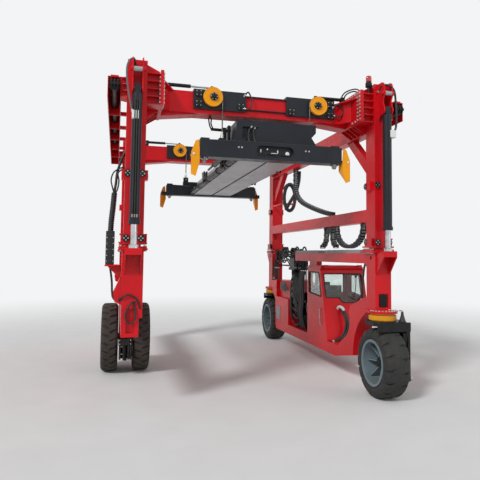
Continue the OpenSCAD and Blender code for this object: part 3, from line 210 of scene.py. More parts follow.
def enamel(name):
    look = enamels[name]
    material, tree, spot = newMaterial(name)
    form = addNode(tree, "NewGeometry").outputs
    facing = addNode(tree, "SeparateXYZ", {0: form["Normal"]})
    place = addNode(tree, "SeparateXYZ", {0: spot})
    cloud = addNode(tree, "TexNoise", {"Vector": spot, "Scale": weather["fading"], "Detail": 5.0, "Roughness": 0.6})
    cloudShare = addNode(tree, "MapRange", {0: cloud, 1: 0.36, 2: 0.66})
    paint = addNode(tree, "Mix", {0: cloudShare, 6: linear(look["fresh"]), 7: linear(look["faded"])}, data_type="RGBA")
    drawn = addNode(tree, "Mapping", {0: spot, "Scale": weather["streaks"]})
    streak = addNode(tree, "TexNoise", {"Vector": drawn, "Scale": 1.0, "Detail": 4.0})
    streakShare = addNode(tree, "MapRange", {0: streak, 1: 0.55, 2: 0.78, 4: weather["streakShare"]})
    streaked = addNode(tree, "Mix", {0: streakShare, 6: paint, 7: linear(weather["streakColour"])}, data_type="RGBA")
    # dust lies on upper faces and thins out above the wheels
    upper = addNode(tree, "MapRange", {0: facing.outputs["Z"], 1: 0.55, 2: 0.95})
    lowPart = addNode(tree, "MapRange", {0: place.outputs["Z"], 1: weather["splashTop"], 2: 0.1, 4: 0.55})
    grit = addNode(tree, "TexNoise", {"Vector": spot, "Scale": weather["grit"], "Detail": 8.0, "Roughness": 0.7})
    gritShare = addNode(tree, "MapRange", {0: grit, 1: 0.38, 2: 0.72})
    settled = addNode(tree, "Math", {0: upper, 1: lowPart}, operation="MAXIMUM")
    dusty = addNode(tree, "Math", {0: settled, 1: gritShare}, operation="MULTIPLY")
    dusty = addNode(tree, "Math", {0: dusty, 1: look["dust"]}, operation="MULTIPLY")
    dusted = addNode(tree, "Mix", {0: dusty, 6: streaked, 7: linear(weather["gritColour"])}, data_type="RGBA")
    # edges: where the rounded normal leaves the face's own, the paint is rubbed
    rounded = addNode(tree, "Bevel", {"Radius": weather["edgeRadius"]}, samples=4)
    along = addNode(tree, "VectorMath", {0: rounded, 1: form["Normal"]}, operation="DOT_PRODUCT")
    edgeShare = addNode(tree, "MapRange", {0: along, 1: 0.985, 2: 0.8, 4: 0.75})
    edgeGrit = addNode(tree, "Math", {0: edgeShare, 1: gritShare}, operation="MULTIPLY")
    rubbed = addNode(tree, "Mix", {0: edgeGrit, 6: dusted, 7: linear(look["edge"])}, data_type="RGBA")
    peel = addNode(tree, "TexNoise", {"Vector": spot, "Scale": weather["peel"], "Detail": 2.0})
    bump = addNode(tree, "Bump", {"Height": peel, "Strength": 0.1, "Distance": 0.0015, "Normal": rounded})
    gloss = addNode(tree, "MapRange", {0: gritShare, 3: look["gloss"], 4: look["gloss"] + 0.16})
    roughness = addNode(tree, "Math", {0: dusty, 1: 0.9, 2: gloss}, operation="MULTIPLY_ADD")
    shader = addNode(tree, "BsdfPrincipled", {"Base Color": rubbed, "Roughness": roughness,
        "Normal": bump, "IOR": 1.5, "Specular IOR Level": 0.25, "Coat Weight": 0.05, "Coat Roughness": 0.15})
    addNode(tree, "OutputMaterial", {"Surface": shader})
    return material


# Metals: hard-chromed rods, zinc-plated bolts, galvanised rope wire. Bright, with fine scratches along the part;
# the grain is noise per metre along x, y and z
metals = {
    "hardChrome": {"colour": "#C9CCCE", "stain": "#9B9E9F", "rough": 0.16, "grain": (9.0, 9.0, 140.0)},
    "zincPlate": {"colour": "#C4C6C2", "stain": "#8F918C", "rough": 0.36, "grain": (60.0, 60.0, 60.0)},
    "greasedWire": {"colour": "#77776F", "stain": "#3A3832", "rough": 0.46, "grain": (40.0, 40.0, 40.0)},
    "machinedSteel": {"colour": "#A8ABAE", "stain": "#6E6F70", "rough": 0.3, "grain": (30.0, 30.0, 30.0)},
}


def metal(name):
    look = metals[name]
    material, tree, spot = newMaterial(name)
    drawn = addNode(tree, "Mapping", {0: spot, "Scale": look["grain"]})
    grain = addNode(tree, "TexNoise", {"Vector": drawn, "Scale": 1.0, "Detail": 6.0})
    stain = addNode(tree, "TexNoise", {"Vector": spot, "Scale": 7.0, "Detail": 5.0})  # stains of 140 mm
    share = addNode(tree, "MapRange", {0: stain, 1: 0.42, 2: 0.75})
    colour = addNode(tree, "Mix", {0: share, 6: linear(look["colour"]), 7: linear(look["stain"])}, data_type="RGBA")
    rough = addNode(tree, "MapRange", {0: grain, 1: 0.3, 2: 0.7, 3: look["rough"] * 0.7, 4: look["rough"] * 1.5})
    bump = addNode(tree, "Bump", {"Height": grain, "Strength": 0.08, "Distance": 0.0008})
    shader = addNode(tree, "BsdfPrincipled", {"Base Color": colour, "Metallic": 1.0,
        "Roughness": rough, "Normal": bump})
    addNode(tree, "OutputMaterial", {"Surface": shader})
    return material


# Rubber and plastics: matt carbon-black compounds; the pattern is scuffing, at so many grains a metre, and settled dust
rubbers = {
    "tyreRubber": {"colour": "#1C1E21", "dust": "#7C745F", "share": 0.24, "rough": 0.78, "grain": 45.0, "bump": 0.35},
    "brownTyreRubber": {"colour": "#2E2926", "dust": "#655A4F", "share": 0.5, "rough": 0.86, "grain": 45.0,
        "bump": 0.4},
    "hoseRubber": {"colour": "#131315", "dust": "#4A4642", "share": 0.2, "rough": 0.5, "grain": 160.0, "bump": 0.15},
    "ribbedNylon": {"colour": "#18191C", "dust": "#5A5650", "share": 0.25, "rough": 0.55, "grain": 120.0, "bump": 0.12},
    "sealRubber": {"colour": "#0E0E10", "dust": "#33312F", "share": 0.15, "rough": 0.62, "grain": 120.0, "bump": 0.1},
    "greyHose": {"colour": "#55595C", "dust": "#8E8A84", "share": 0.22, "rough": 0.52, "grain": 160.0, "bump": 0.12},
    "moulding": {"colour": "#33363A", "dust": "#5C5A57", "share": 0.15, "rough": 0.58, "grain": 300.0, "bump": 0.25},
    "seatVinyl": {"colour": "#222429", "dust": "#45464A", "share": 0.18, "rough": 0.5, "grain": 400.0, "bump": 0.2},
    "whiteMoulding": {"colour": "#DADBD8", "dust": "#A9A49B", "share": 0.25, "rough": 0.42, "grain": 200.0,
        "bump": 0.06},
}


def rubber(name):
    look = rubbers[name]
    material, tree, spot = newMaterial(name)
    form = addNode(tree, "NewGeometry").outputs
    cloud = addNode(tree, "TexNoise", {"Vector": spot, "Scale": 8.0, "Detail": 8.0, "Roughness": 0.72})  # 125 mm
    share = addNode(tree, "MapRange", {0: cloud, 1: 0.36, 2: 0.7, 4: look["share"]})
    # more dust in hollows
    hollow = addNode(tree, "MapRange", {0: form["Pointiness"], 1: 0.5, 2: 0.42, 3: 0.55, 4: 1.0})
    dusty = addNode(tree, "Math", {0: share, 1: hollow}, operation="MULTIPLY")
    colour = addNode(tree, "Mix", {0: dusty, 6: linear(look["colour"]), 7: linear(look["dust"])}, data_type="RGBA")
    grain = addNode(tree, "TexNoise", {"Vector": spot, "Scale": look["grain"], "Detail": 6.0, "Roughness": 0.65})
    bump = addNode(tree, "Bump", {"Height": grain, "Strength": look["bump"], "Distance": 0.003})
    rough = addNode(tree, "MapRange", {0: cloud, 3: look["rough"] - 0.12, 4: look["rough"] + 0.14})
    shader = addNode(tree, "BsdfPrincipled", {"Base Color": colour, "Roughness": rough, "Normal": bump, "IOR": 1.5})
    addNode(tree, "OutputMaterial", {"Surface": shader})
    return material


# Toughened glass, very slightly green, and the beacon's tinted dome, both with a film of dust in patches of 200 mm
glasses = {"cabGlass": {"tint": "#EDF5F2", "film": 0.12}, "beaconLens": {"tint": "#D2201E", "film": 0.25}}


def glazing(name):
    look = glasses[name]
    material, tree, spot = newMaterial(name)
    smear = addNode(tree, "TexNoise", {"Vector": spot, "Scale": 5.0, "Detail": 7.0})
    rough = addNode(tree, "MapRange", {0: smear, 1: 0.3, 2: 0.8, 3: 0.0, 4: 0.05})
    clear = addNode(tree, "BsdfPrincipled", {"Base Color": linear(look["tint"]), "Roughness": rough,
        "Transmission Weight": 1.0, "IOR": 1.45})
    dust = addNode(tree, "BsdfDiffuse", {"Color": linear("#B9B8B2")})
    share = addNode(tree, "MapRange", {0: smear, 1: 0.35, 2: 0.85, 4: look["film"]})
    both = addNode(tree, "MixShader", {0: share, 1: clear, 2: dust})
    addNode(tree, "OutputMaterial", {"Surface": both})
    return material


finish = {name: make(name) for make, names in ((enamel, enamels), (metal, metals), (rubber, rubbers),
    (glazing, glasses)) for name in names}

coats = {
    "redEnamel": ["right_lower_beam", "left_lower_beam", "near_right_foot", "far_right_foot", "near_left_foot",
        "far_left_foot", "deck_beam", "cab_roof", "inner_masts", "cab_shell", "cab_door", "fuel_tank", "outer_masts",
        "beam_brackets", "side_frames", "near_crossbeam", "far_crossbeam", "middle_beams", "beacon", "twin_rims",
        "mast_pads"],
    "blueBlackEnamel": ["shift_carriages", "end_bars", "headblock", "lift_barrels", "valve_bank"],
    "blackEnamel": ["engine", "cooling_pack", "twin_axle", "hoist_cylinders", "shift_cylinders", "spreader_lugs",
        "near_fork", "far_fork", "pipework"],
    "yellowEnamel": ["hoist_sheaves", "near_left_guide", "near_right_guide", "far_left_guide", "far_right_guide"],
    "amberEnamel": ["slewing_rings"],
    "blueGreyEnamel": ["near_rim", "far_rim"],
    "paleGreyEnamel": ["spreader_beams"],
    "hardChrome": ["lift_rods"],
    "machinedSteel": ["twistlocks"],
    "greasedWire": ["hoist_ropes"],
    "tyreRubber": ["near_tyre", "far_tyre"],
    "brownTyreRubber": ["twin_tyres"],
    "moulding": ["cab_seat"],
    "ribbedNylon": ["energy_chain"],
    "cabGlass": ["cab_windows", "door_window"],
}
for name, members in coats.items():
    for member in members:
        mesh = nodes[member].data
        mesh.materials.clear()
        mesh.materials.append(finish[name])
print("stage: finishes put on", sum(len(members) for members in coats.values()), "nodes")

# Shapes. Each gives a part: its points, and blocks of faces as corner numbers, worked out as whole arrays.


def unit(vectors):
    return vectors / np.linalg.norm(vectors, axis=1, keepdims=True)


def around(count):
    return np.linspace(0, 2 * np.pi, count, endpoint=False)


def smoothLine(knots, steps=40):
    # Catmull-Rom: between two knots the cubic whose end slopes are half the way from the knot before to the knot after
    p = np.asarray(knots, float)
    p = np.vstack([2 * p[0] - p[1], p, 2 * p[-1] - p[-2]])
    u = np.linspace(0, len(p) - 3, steps)
    i = np.minimum(u.astype(int), len(p) - 4)
    t = (u - i)[:, None]
    a, b, c, d = p[i], p[i + 1], p[i + 2], p[i + 3]
    return 0.5 * (2 * b + (c - a) * t + (2 * a - 5 * b + 4 * c - d) * t ** 2 + (3 * b - a - 3 * c + d) * t ** 3)


def bow(a, b, c, d, steps=12):
    # the cubic that leaves a towards b and reaches d from c
    a, b, c, d = (np.asarray(p, float) for p in (a, b, c, d))
    t = np.linspace(0, 1, steps + 1)[:, None]
    s = 1 - t
    return s ** 3 * a + 3 * s * s * t * b + 3 * s * t * t * c + t ** 3 * d


def closeRings(grid, torus=False):
    # rows of rings: quads join each ring to the next, and a fan closes each end, or else the last ring meets the first
    rows, cols = grid.shape[:2]
    i, j = np.meshgrid(np.arange(rows if torus else rows - 1), np.arange(cols), indexing="ij")
    on, up = (j + 1) % cols, (i + 1) % rows
    quads = np.stack([i * cols + j, i * cols + on, up * cols + on, up * cols + j], -1).reshape(-1, 4)
    points = grid.reshape(-1, 3)
    if torus:
        return points, [quads]
    j = np.arange(cols)
    on = (j + 1) % cols
    end = (rows - 1) * cols
    fans = np.concatenate([np.stack([0 * j + rows * cols, on, j], -1),
        np.stack([0 * j + rows * cols + 1, end + j, end + on], -1)])
    return np.vstack([points, grid[0].mean(0), grid[-1].mean(0)]), [quads, fans]


def squareTo(axis):
    # unit vectors A, U and V: U is square to A and to Z, or to Y where A is near Z, and V = A x U
    a = np.asarray(axis, float) / np.linalg.norm(axis)
    u = np.cross(a, [0, 0, 1] if abs(a[2]) < 0.9 else [0, 1, 0])
    u /= np.linalg.norm(u)
    return a, u, np.cross(a, u)


def lathe(profile, centre, axis=(0, 0, 1), sides=24, torus=False):
    # P(t, w) = C + h(t) A + r(t) (U cos w + V sin w), for a profile of radius r and height h, upward on its outside
    a, u, v = squareTo(axis)
    r, h = np.asarray(profile, float).T
    turn = around(sides)
    ring = np.cos(turn)[:, None] * u + np.sin(turn)[:, None] * v
    return closeRings(np.asarray(centre, float) + h[:, None, None] * a + r[:, None, None] * ring, torus)


def drum(centre, axis, radius, length, edge=0.004, sides=24):
    # a lathed drum with a chamfer at both ends, from its centre along its axis
    return lathe([(radius - edge, 0), (radius, edge), (radius, length - edge), (radius - edge, length)], centre, axis,
        sides)


def tube(line, radius, sides=10, loop=False):
    # P(s, w) = C(s) + r(s) (N cos w + B sin w): N is least along any slope and squared to each, and B = T x N
    line = np.asarray(line, float)
    slope = unit(np.roll(line, -1, 0) - np.roll(line, 1, 0) if loop else np.gradient(line, axis=0))
    least = np.linalg.eigh(slope.T @ slope)[1][:, 0]
    side = unit(least - slope * (slope @ least)[:, None])
    over = np.cross(slope, side)
    turn = around(sides)
    ring = side[:, None] * np.cos(turn)[:, None] + over[:, None] * np.sin(turn)[:, None]
    wide = np.broadcast_to(np.asarray(radius, float), (len(line),))
    return closeRings(line[:, None] + ring * wide[:, None, None], loop)


def lengths(line):
    # how far along the line each of its points lies
    return np.concatenate([[0], np.cumsum(np.linalg.norm(np.diff(line, axis=0), axis=1))])


def evenly(line, pitch):
    # the line resampled to equal steps of about one pitch
    far = lengths(line)
    want = np.linspace(0, far[-1], max(2, int(round(far[-1] / pitch)) + 1))
    return np.stack([np.interp(want, far, line[:, k]) for k in range(3)], 1)


def ribbed(line, radius, pitch=0.022, depth=0.1, sides=12):
    # a corrugated hose: r(s) = r0 (1 + depth cos(2 pi s / pitch))
    fine = evenly(line, pitch / 6)
    return tube(fine, radius * (1 + depth * np.cos(2 * np.pi * lengths(fine) / pitch)), sides)


def roundedRect(low, high, r=0.01, n=3):
    # a quarter circle in each of the four corners
    a = np.linspace(0, np.pi / 2, n + 1)
    middles = [(high[0] - r, high[1] - r), (low[0] + r, high[1] - r), (low[0] + r, low[1] + r),
        (high[0] - r, low[1] + r)]
    return np.concatenate([np.stack([x + r * np.cos(a + q * np.pi / 2), y + r * np.sin(a + q * np.pi / 2)], 1)
        for q, (x, y) in enumerate(middles)])


def softOutline(points, r, n=4):
    # each corner b becomes b + u r (1 - t)^2 + v r t^2, with u and v towards its neighbours
    b = np.asarray(points, float)
    u, v = unit(np.roll(b, 1, 0) - b), unit(np.roll(b, -1, 0) - b)
    t = np.linspace(0, 1, n + 1)[None, :, None]
    return (b[:, None] + u[:, None] * r * (1 - t) ** 2 + v[:, None] * r * t ** 2).reshape(-1, 2)


def slab(outline, low, high, axis=2, edge=0.004):
    # an outline in the other two axes, in their order x, y, z, carried from low to high, its end rings drawn in
    ring = np.asarray(outline, float)
    if axis == 1:
        ring = ring[:, ::-1]
    on = np.roll(ring, -1, 0)
    if np.sum(ring[:, 0] * on[:, 1] - on[:, 0] * ring[:, 1]) < 0:
        ring = ring[::-1]
    along = unit(unit(ring - np.roll(ring, 1, 0)) + unit(np.roll(ring, -1, 0) - ring))
    drawn = ring + np.stack([-along[:, 1], along[:, 0]], 1) * edge
    grid = np.zeros((4, len(ring), 3))
    for k, (r, h) in enumerate([(drawn, low), (ring, low + edge), (ring, high - edge), (drawn, high)]):
        grid[k, :, axis], grid[k, :, (axis + 1) % 3], grid[k, :, (axis + 2) % 3] = h, r[:, 0], r[:, 1]
    return closeRings(grid)


def block(low, high, edge=0.004, soft=0.006):
    # a box with rounded upright corners and chamfered ends
    soft = min(soft, (high[0] - low[0]) * 0.45, (high[1] - low[1]) * 0.45)
    edge = min(edge, (high[2] - low[2]) * 0.4, soft * 0.9)
    return slab(roundedRect(low[:2], high[:2], soft), low[2], high[2], 2, edge)


def repeat(part, places, frames=None):
    # the same part at many places; frames holds three directions for each place, for the part's own x, y and z
    points, blocks = part
    places = np.asarray(places, float).reshape(-1, 3)
    turned = points[None] if frames is None else np.einsum("pk,nkc->npc", points, frames)
    shift = np.arange(len(places)) * len(points)
    return (places[:, None] + turned).reshape(-1, 3), [(b[None] + shift[:, None, None]).reshape(-1, b.shape[1])
        for b in blocks]


boltLook = {"across": 0.03, "head": 0.017, "washer": 0.022, "sheet": 0.003}


def bolts(places, axis, scale=1.0):
    # a washer and a six-sided head whose radius at angle w is half / cos((w mod 60) - 30)
    a, u, v = squareTo(axis)
    turn = around(12)
    hexagon = boltLook["across"] / 2 / np.cos(np.mod(turn, np.pi / 3) - np.pi / 6)
    washer = np.full(12, boltLook["washer"])
    head, sheet = boltLook["head"], boltLook["sheet"]
    ring = np.cos(turn)[:, None] * u + np.sin(turn)[:, None] * v
    rows = [(washer, -0.002), (washer, sheet), (hexagon, sheet), (hexagon, head * 0.8), (hexagon * 0.86, head)]
    grid = np.stack([h * a + r[:, None] * ring for r, h in rows]) * scale
    return repeat(closeRings(grid), places)


def circle(centre, axis, radius, count, start=0.0):
    # C + R (U cos w + V sin w) at equal angles
    a, u, v = squareTo(axis)
    w = start + np.arange(count) * 2 * math.pi / count
    return np.asarray(centre, float) + radius * (np.cos(w)[:, None] * u + np.sin(w)[:, None] * v)


def boltRing(centre, axis, radius, count, scale=1.0, start=0.0):
    # bolts at equal angles, facing along the axis
    return bolts(circle(centre, axis, radius, count, start), axis, scale)


def makePiece(name, parts, body, coat, stands=(), sharp=38):
    # one mesh from whole arrays, sharp at edges above so many degrees; a piece without a body is attached to none, and
    # its caller bakes its place into its points
    starts = np.cumsum([0] + [len(points) for points, blocks in parts])
    faces = [b + start for (points, blocks), start in zip(parts, starts) for b in blocks]
    corners = np.concatenate([f.ravel() for f in faces]).astype(np.int32)
    sizes = np.concatenate([np.full(len(f), f.shape[1]) for f in faces])
    mesh = bpy.data.meshes.new(name)
    mesh.vertices.add(int(starts[-1]))
    mesh.vertices.foreach_set("co", np.concatenate([points for points, blocks in parts]).astype(np.float32).ravel())
    mesh.loops.add(len(corners))
    mesh.loops.foreach_set("vertex_index", corners)
    mesh.polygons.add(len(sizes))
    mesh.polygons.foreach_set("loop_start", (np.cumsum(sizes) - sizes).astype(np.int32))
    mesh.update(calc_edges=True)
    mesh.validate()
    mesh.polygons.foreach_set("use_smooth", np.ones(len(mesh.polygons), bool))
    mesh.set_sharp_from_angle(angle=math.radians(sharp))
    mesh.materials.append(finish[coat])
    piece = bpy.data.objects.new(name, mesh)
    bpy.context.scene.collection.objects.link(piece)
    if body:
        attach(piece, body)
    if stands:
        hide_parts(*stands)
    return piece


def runHoses(name, runs, body, coat, steps=60, sides=10):
    # smooth tubes through their knots
    return makePiece(name, [tube(smoothLine(knots, steps), radius, sides) for knots, radius in runs], body, coat,
        sharp=60)


# Places on the machine, in metres in the part's frame
middleX = -0.202  # the machine's middle plane
legX = {1: middleX + 2.07, -1: middleX - 2.07}
legY = 3.075
wheelY = 3.205
hubZ = 0.575
twinAxle = (-2.292, -0.1, 0.675)
twinReach = 0.305  # from the twin axle's middle to each tyre's
barrelY = 3.45  # lift cylinders
everyLeg = [(across, along) for across in (1, -1) for along in (-1, 1)]
padSides, padHeights = (-0.108, 0.108), (2.59, 3.57)  # the mast pads' covers, off each leg's middle
slewRadius = 0.229  # the bolts of the slewing rings
tankSkin = (1.712, 1.722)  # plates on the tank's inner face, in X

# Tyres

tyres = {
    "cabSide": {"outer": 1.15, "width": 0.44, "bead": 0.75, "grooves": 16, "depth": 0.034, "gap": 0.021, "slant": 0.25},
    "twin": {"outer": 1.35, "width": 0.33, "bead": 0.62, "grooves": 26, "depth": 0.034, "gap": 0.017, "slant": 0.445},
    "columns": 480,
    "shoulder": 0.15,  # length of the short grooves
    "tread": 0.115,  # grooves end so far below the crown
    "wear": 0.0016,
}


def step(x):  # 3x^2 - 2x^3 between 0 and 1
    x = np.clip(x, 0, 1)
    return x * x * (3 - 2 * x)


def tyreSection(look):
    # half the section as (across, radius) knots; the other half is its mirror
    w, r, b = look["width"] / 2, look["outer"] / 2, look["bead"] / 2
    half = np.array([(0.0, r), (w - 0.11, r - 0.001), (w - 0.06, r - 0.005), (w - 0.035, r - 0.02),
        (w - 0.014, r - 0.046), (w - 0.004, r - 0.075), (w - 0.003, r - 0.1), (w - 0.009, r - 0.112),
        (w - 0.009, b + 0.105), (w - 0.002, b + 0.092), (w - 0.002, b + 0.06), (w - 0.016, b + 0.03),
        (w - 0.04, b + 0.004)])
    far = lengths(half)
    want = np.interp(np.linspace(0, 1, 34), np.linspace(0, 1, len(far)), far)
    half = np.stack([np.interp(want, far, half[:, 0]), np.interp(want, far, half[:, 1])], 1)
    return np.vstack([half, (half * [-1, 1])[:0:-1]])


def tyre(look, centre, chevron):
    # P(t, w) = C + (x, r sin w, r cos w); r is the section's radius less the tread's grooves
    section = tyreSection(look)
    w = around(tyres["columns"])
    x, r = section[:, :1], section[:, 1:]
    half, top, pitch = look["width"] / 2, look["outer"] / 2, 2 * np.pi / look["grooves"]
    # chevron grooves run from the middle to both shoulders, and the others only across each shoulder; both lean by the
    # slant, and the two sides are out of step by half a pitch
    phase = w - look["slant"] * (np.abs(x) if chevron else x) / top + np.where(x < 0, pitch * 0.5, 0)
    first, soft = (0.012, 0.012) if chevron else (half - tyres["shoulder"], 0.02)
    reach = step((np.abs(x) - first) / soft)
    away = np.abs(np.mod(phase, pitch) - pitch / 2) * top
    cut = step((look["gap"] + 0.004 - away) / 0.008) * reach * step((r - (top - tyres["tread"])) / 0.02)
    r = r - look["depth"] * cut
    # a slight waviness of wear on the crown
    crown = step((half - 0.06 - np.abs(x)) / 0.03)
    r = r - tyres["wear"] * crown * (1 + np.sin(7 * w + 9 * x) * np.sin(3 * w))
    grid = np.stack([np.broadcast_to(x, r.shape), r * np.sin(w), r * np.cos(w)], -1) + np.asarray(centre, float)
    return closeRings(grid[::-1], torus=True)


for name, along in (("near", -1), ("far", 1)):
    makePiece(name + "TyreTread", [tyre(tyres["cabSide"], (legX[1], along * wheelY, hubZ), False)], name + "_wheel",
        "tyreRubber", [name + "_tyre"], 30)
twinX, twinY, twinZ = twinAxle
makePiece("twinTyreTreads", [tyre(tyres["twin"], (twinX + s * twinReach, twinY, twinZ), True) for s in (-1, 1)],
    "twin_wheels", "brownTyreRubber", ["twin_tyres"], 30)
print("stage: tyres made")

# Hoist ropes: six strands laid round each other, r(s, w) = R (0.84 + 0.16 |cos 3(w - 2 pi s / lay)|)

ropeLook = {
    "radius": 0.0115,
    "lay": 0.15,
    "top": 5.02,  # the sheaves' axles
    "bottom": 4.315,
    "sheave": 0.151,
    "wrap": 1.15 * math.pi,  # the angle that the rope lies on its sheave
    "x": (0.734, -0.838),
    "y": (-2.6905, 2.1795),
}


def strands(line, sides=36):
    # a tube of radius 1 whose points are drawn in to r(s, w) from its line
    points, blocks = tube(line, 1.0, sides)
    count = len(line)
    far = lengths(np.asarray(line, float))[:, None]
    w = around(sides)
    r = ropeLook["radius"] * (0.84 + 0.16 * np.abs(np.cos(3 * (w - 2 * np.pi * far / ropeLook["lay"]))))
    body = points[:-2].reshape(count, sides, 3)
    body = line[:, None] + (body - line[:, None]) * r[..., None]
    return np.vstack([body.reshape(-1, 3), line[:1], line[-1:]]), blocks


ropeEnds = [(x, y) for x in ropeLook["x"] for y in ropeLook["y"]]
hung = [strands(np.linspace((x, y, ropeLook["bottom"] - 0.03), (x, y, ropeLook["top"]), 90)) for x, y in ropeEnds]
ropes = makePiece("hoistRopeStrands", hung, None, "greasedWire", ["hoist_ropes"], 60)
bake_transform(ropes)

# the rope goes on round its sheave's groove and leaves over the top
wraps, sockets, pins, caps, capBolts = [], [], [], [], []
top = ropeLook["top"]
for x, y in ropeEnds:
    out = math.copysign(ropeLook["sheave"], x)
    w = np.linspace(0, ropeLook["wrap"], 70)
    wraps.append(strands(np.stack([x + out * (1 - np.cos(w)), 0 * w + y, top + abs(out) * np.sin(w)], 1)))
    sockets.append(lathe([(0.03, 0), (0.034, 0.01), (0.034, 0.03), (0.02, 0.105), (0.017, 0.13), (0.012, 0.135)],
        (x, y, 4.3), sides=20))
    pins.append(drum((x, y - 0.062, 4.262), (0, 1, 0), 0.016, 0.124, 0.003, 14))
    caps.append(lathe([(0.068, 0), (0.068, 0.012), (0.058, 0.02), (0.04, 0.024), (0.04, 0.034), (0.034, 0.038)],
        (x + out, y - 0.028, top), (0, -1, 0), 28))
    capBolts.append(boltRing((x + out, y - 0.048, top), (0, -1, 0), 0.051, 6, 0.5))
makePiece("sheaveRopeWraps", wraps, "carriages", "greasedWire", sharp=60)
makePiece("ropeSockets", sockets, "spreader", "zincPlate")
makePiece("socketPins", pins, "spreader", "machinedSteel")
makePiece("sheaveHubCaps", caps, "carriages", "blackEnamel")
makePiece("sheaveHubBolts", capBolts, "carriages", "zincPlate")
print("stage: ropes made")

# Bolts, by body

footBolts, nutsUnder, rodBolts, slewBolts = [], [], [], []
for across, along in everyLeg:
    x, y = legX[across], along * legY
    flange = [(x + side * 0.182, y - along * row) for side in (-1, 1) for row in np.linspace(-0.145, 0.19, 6)]
    flange += [(x + d, y - along * 0.192) for d in (-0.11, 0.0, 0.11)]
    footBolts += [(*place, 2.47) for place in flange]
    nutsUnder += [(*place, 2.41) for place in flange]
    rodBolts += list(circle((x, along * 3.405, 2.48), (0, 0, 1), 0.061, 8))
for along in (-1, 1):
    w = np.linspace(0.12, math.pi - 0.12, 13)
    slewBolts += [(legX[1] + slewRadius * math.cos(a), along * (wheelY + slewRadius * math.sin(a)), 1.439) for a in w]
makePiece("footFlangeBolts", [bolts(footBolts, (0, 0, 1)), bolts(nutsUnder, (0, 0, -1)),
    bolts(rodBolts, (0, 0, 1), 0.6), bolts(slewBolts, (0, 0, 1), 0.9)], "lower_frame", "zincPlate")

beamBolts = []
for across, along in everyLeg:
    for facing, plane in ((-1, 1.667), (1, 1.717)):
        places = [(y, z) for y in (3.205, 3.115) for z in np.linspace(4.705, 5.165, 8)]
        places += [(y, 5.172) for y in np.linspace(3.02, 2.27, 9)] + [(y, 4.695) for y in (3.02, 2.9)]
        beamBolts.append(bolts([(middleX + across * plane, along * y, z) for y, z in places], (across * facing, 0, 0)))
makePiece("beamFlangeBolts", beamBolts, "upper_frame", "zincPlate")

padBolts = []
for across, along in everyLeg:
    for z in padHeights:
        for side in padSides:
            padBolts += list(circle((legX[across] + side, along * (legY + 0.193), z), (0, along, 0), 0.03, 4))
makePiece("padBolts", [bolts([place for place in padBolts if place[1] * way > 0], (0, way, 0), 0.55)
    for way in (-1, 1)], "upper_frame", "zincPlate")

for name, along in (("near", -1), ("far", 1)):
    hub = np.array((legX[1], along * wheelY, hubZ))
    nose, cover = hub - [0.066, 0, 0], hub + [0.379, 0, 0]
    makePiece(name + "WheelNuts", [boltRing(hub + [0.099, 0, 0], (-1, 0, 0), 0.165, 12, 0.9)], name + "_wheel",
        "blueGreyEnamel")
    makePiece(name + "HubBolts", [boltRing(cover, (1, 0, 0), 0.088, 8, 0.8), boltRing(nose, (-1, 0, 0), 0.066, 6, 0.7)],
        name + "_fork", "blackEnamel")
    caps = [lathe([(0.048, 0), (0.048, 0.01), (0.036, 0.022), (0.012, 0.026)], nose, (-1, 0, 0), 24),
        lathe([(0.06, 0), (0.06, 0.012), (0.045, 0.024), (0.014, 0.028)], cover, (1, 0, 0), 24)]
    makePiece(name + "HubCap", caps, name + "_fork", "blackEnamel")
makePiece("twinWheelNuts", [boltRing((twinX + s * twinReach + 0.044, twinY, twinZ), (way, 0, 0), 0.15, 10, 0.9)
    for way in (1, -1) for s in (-1, 1)], "twin_wheels", "zincPlate")
print("stage: bolts made")

# Cab: seals round the panes, seat, controls, wiper and fittings

cabLook = {
    "left": 1.72,
    "right": 2.72,
    "front": -1.12,  # at the floor
    "back": 0.06,
    "floor": 0.6,
    "lean": 0.39 / 1.48,
    "sealRadius": 0.013,
}


def cabFront(z):  # the front face leans back by a fixed share of the height
    return cabLook["front"] + cabLook["lean"] * (np.asarray(z, float) - cabLook["floor"])


def seal(outline, place):  # a rubber bead along a soft outline, which place() lifts into space
    flat = softOutline(outline, 0.045)
    return tube(place(flat[:, 0], flat[:, 1]), cabLook["sealRadius"], 8, loop=True)


sideOutline = [(-0.04, 1.53), (-0.04, 1.99), (float(cabFront(1.99)) + 0.11, 1.99), (float(cabFront(1.48)) + 0.11, 1.48)]
doorOutline = [(-0.13, 1.53), (-0.13, 1.92), (float(cabFront(1.92)) + 0.2, 1.92), (float(cabFront(1.48)) + 0.2, 1.48)]
screenOutline = [(1.785, 1.47), (2.075, 1.47), (2.155, 1.365), (2.47, 1.365), (2.66, 1.54), (2.66, 1.965),
    (1.785, 1.965)]
rearOutline = [(1.84, 1.5), (2.6, 1.5), (2.6, 1.96), (1.84, 1.96)]
makePiece("cabSeals", [
    seal(sideOutline, lambda y, z: np.stack([0 * y + cabLook["left"] + 0.001, y, z], 1)),
    seal(screenOutline, lambda x, z: np.stack([x, cabFront(z) + 0.001, z], 1)),
    seal(rearOutline, lambda x, z: np.stack([x, 0 * x + cabLook["back"] - 0.001, z], 1))], "lower_frame", "sealRubber")
makePiece("doorSeal", [seal(doorOutline, lambda y, z: np.stack([0 * y + cabLook["right"] - 0.001, y, z], 1))], "door",
    "sealRubber")


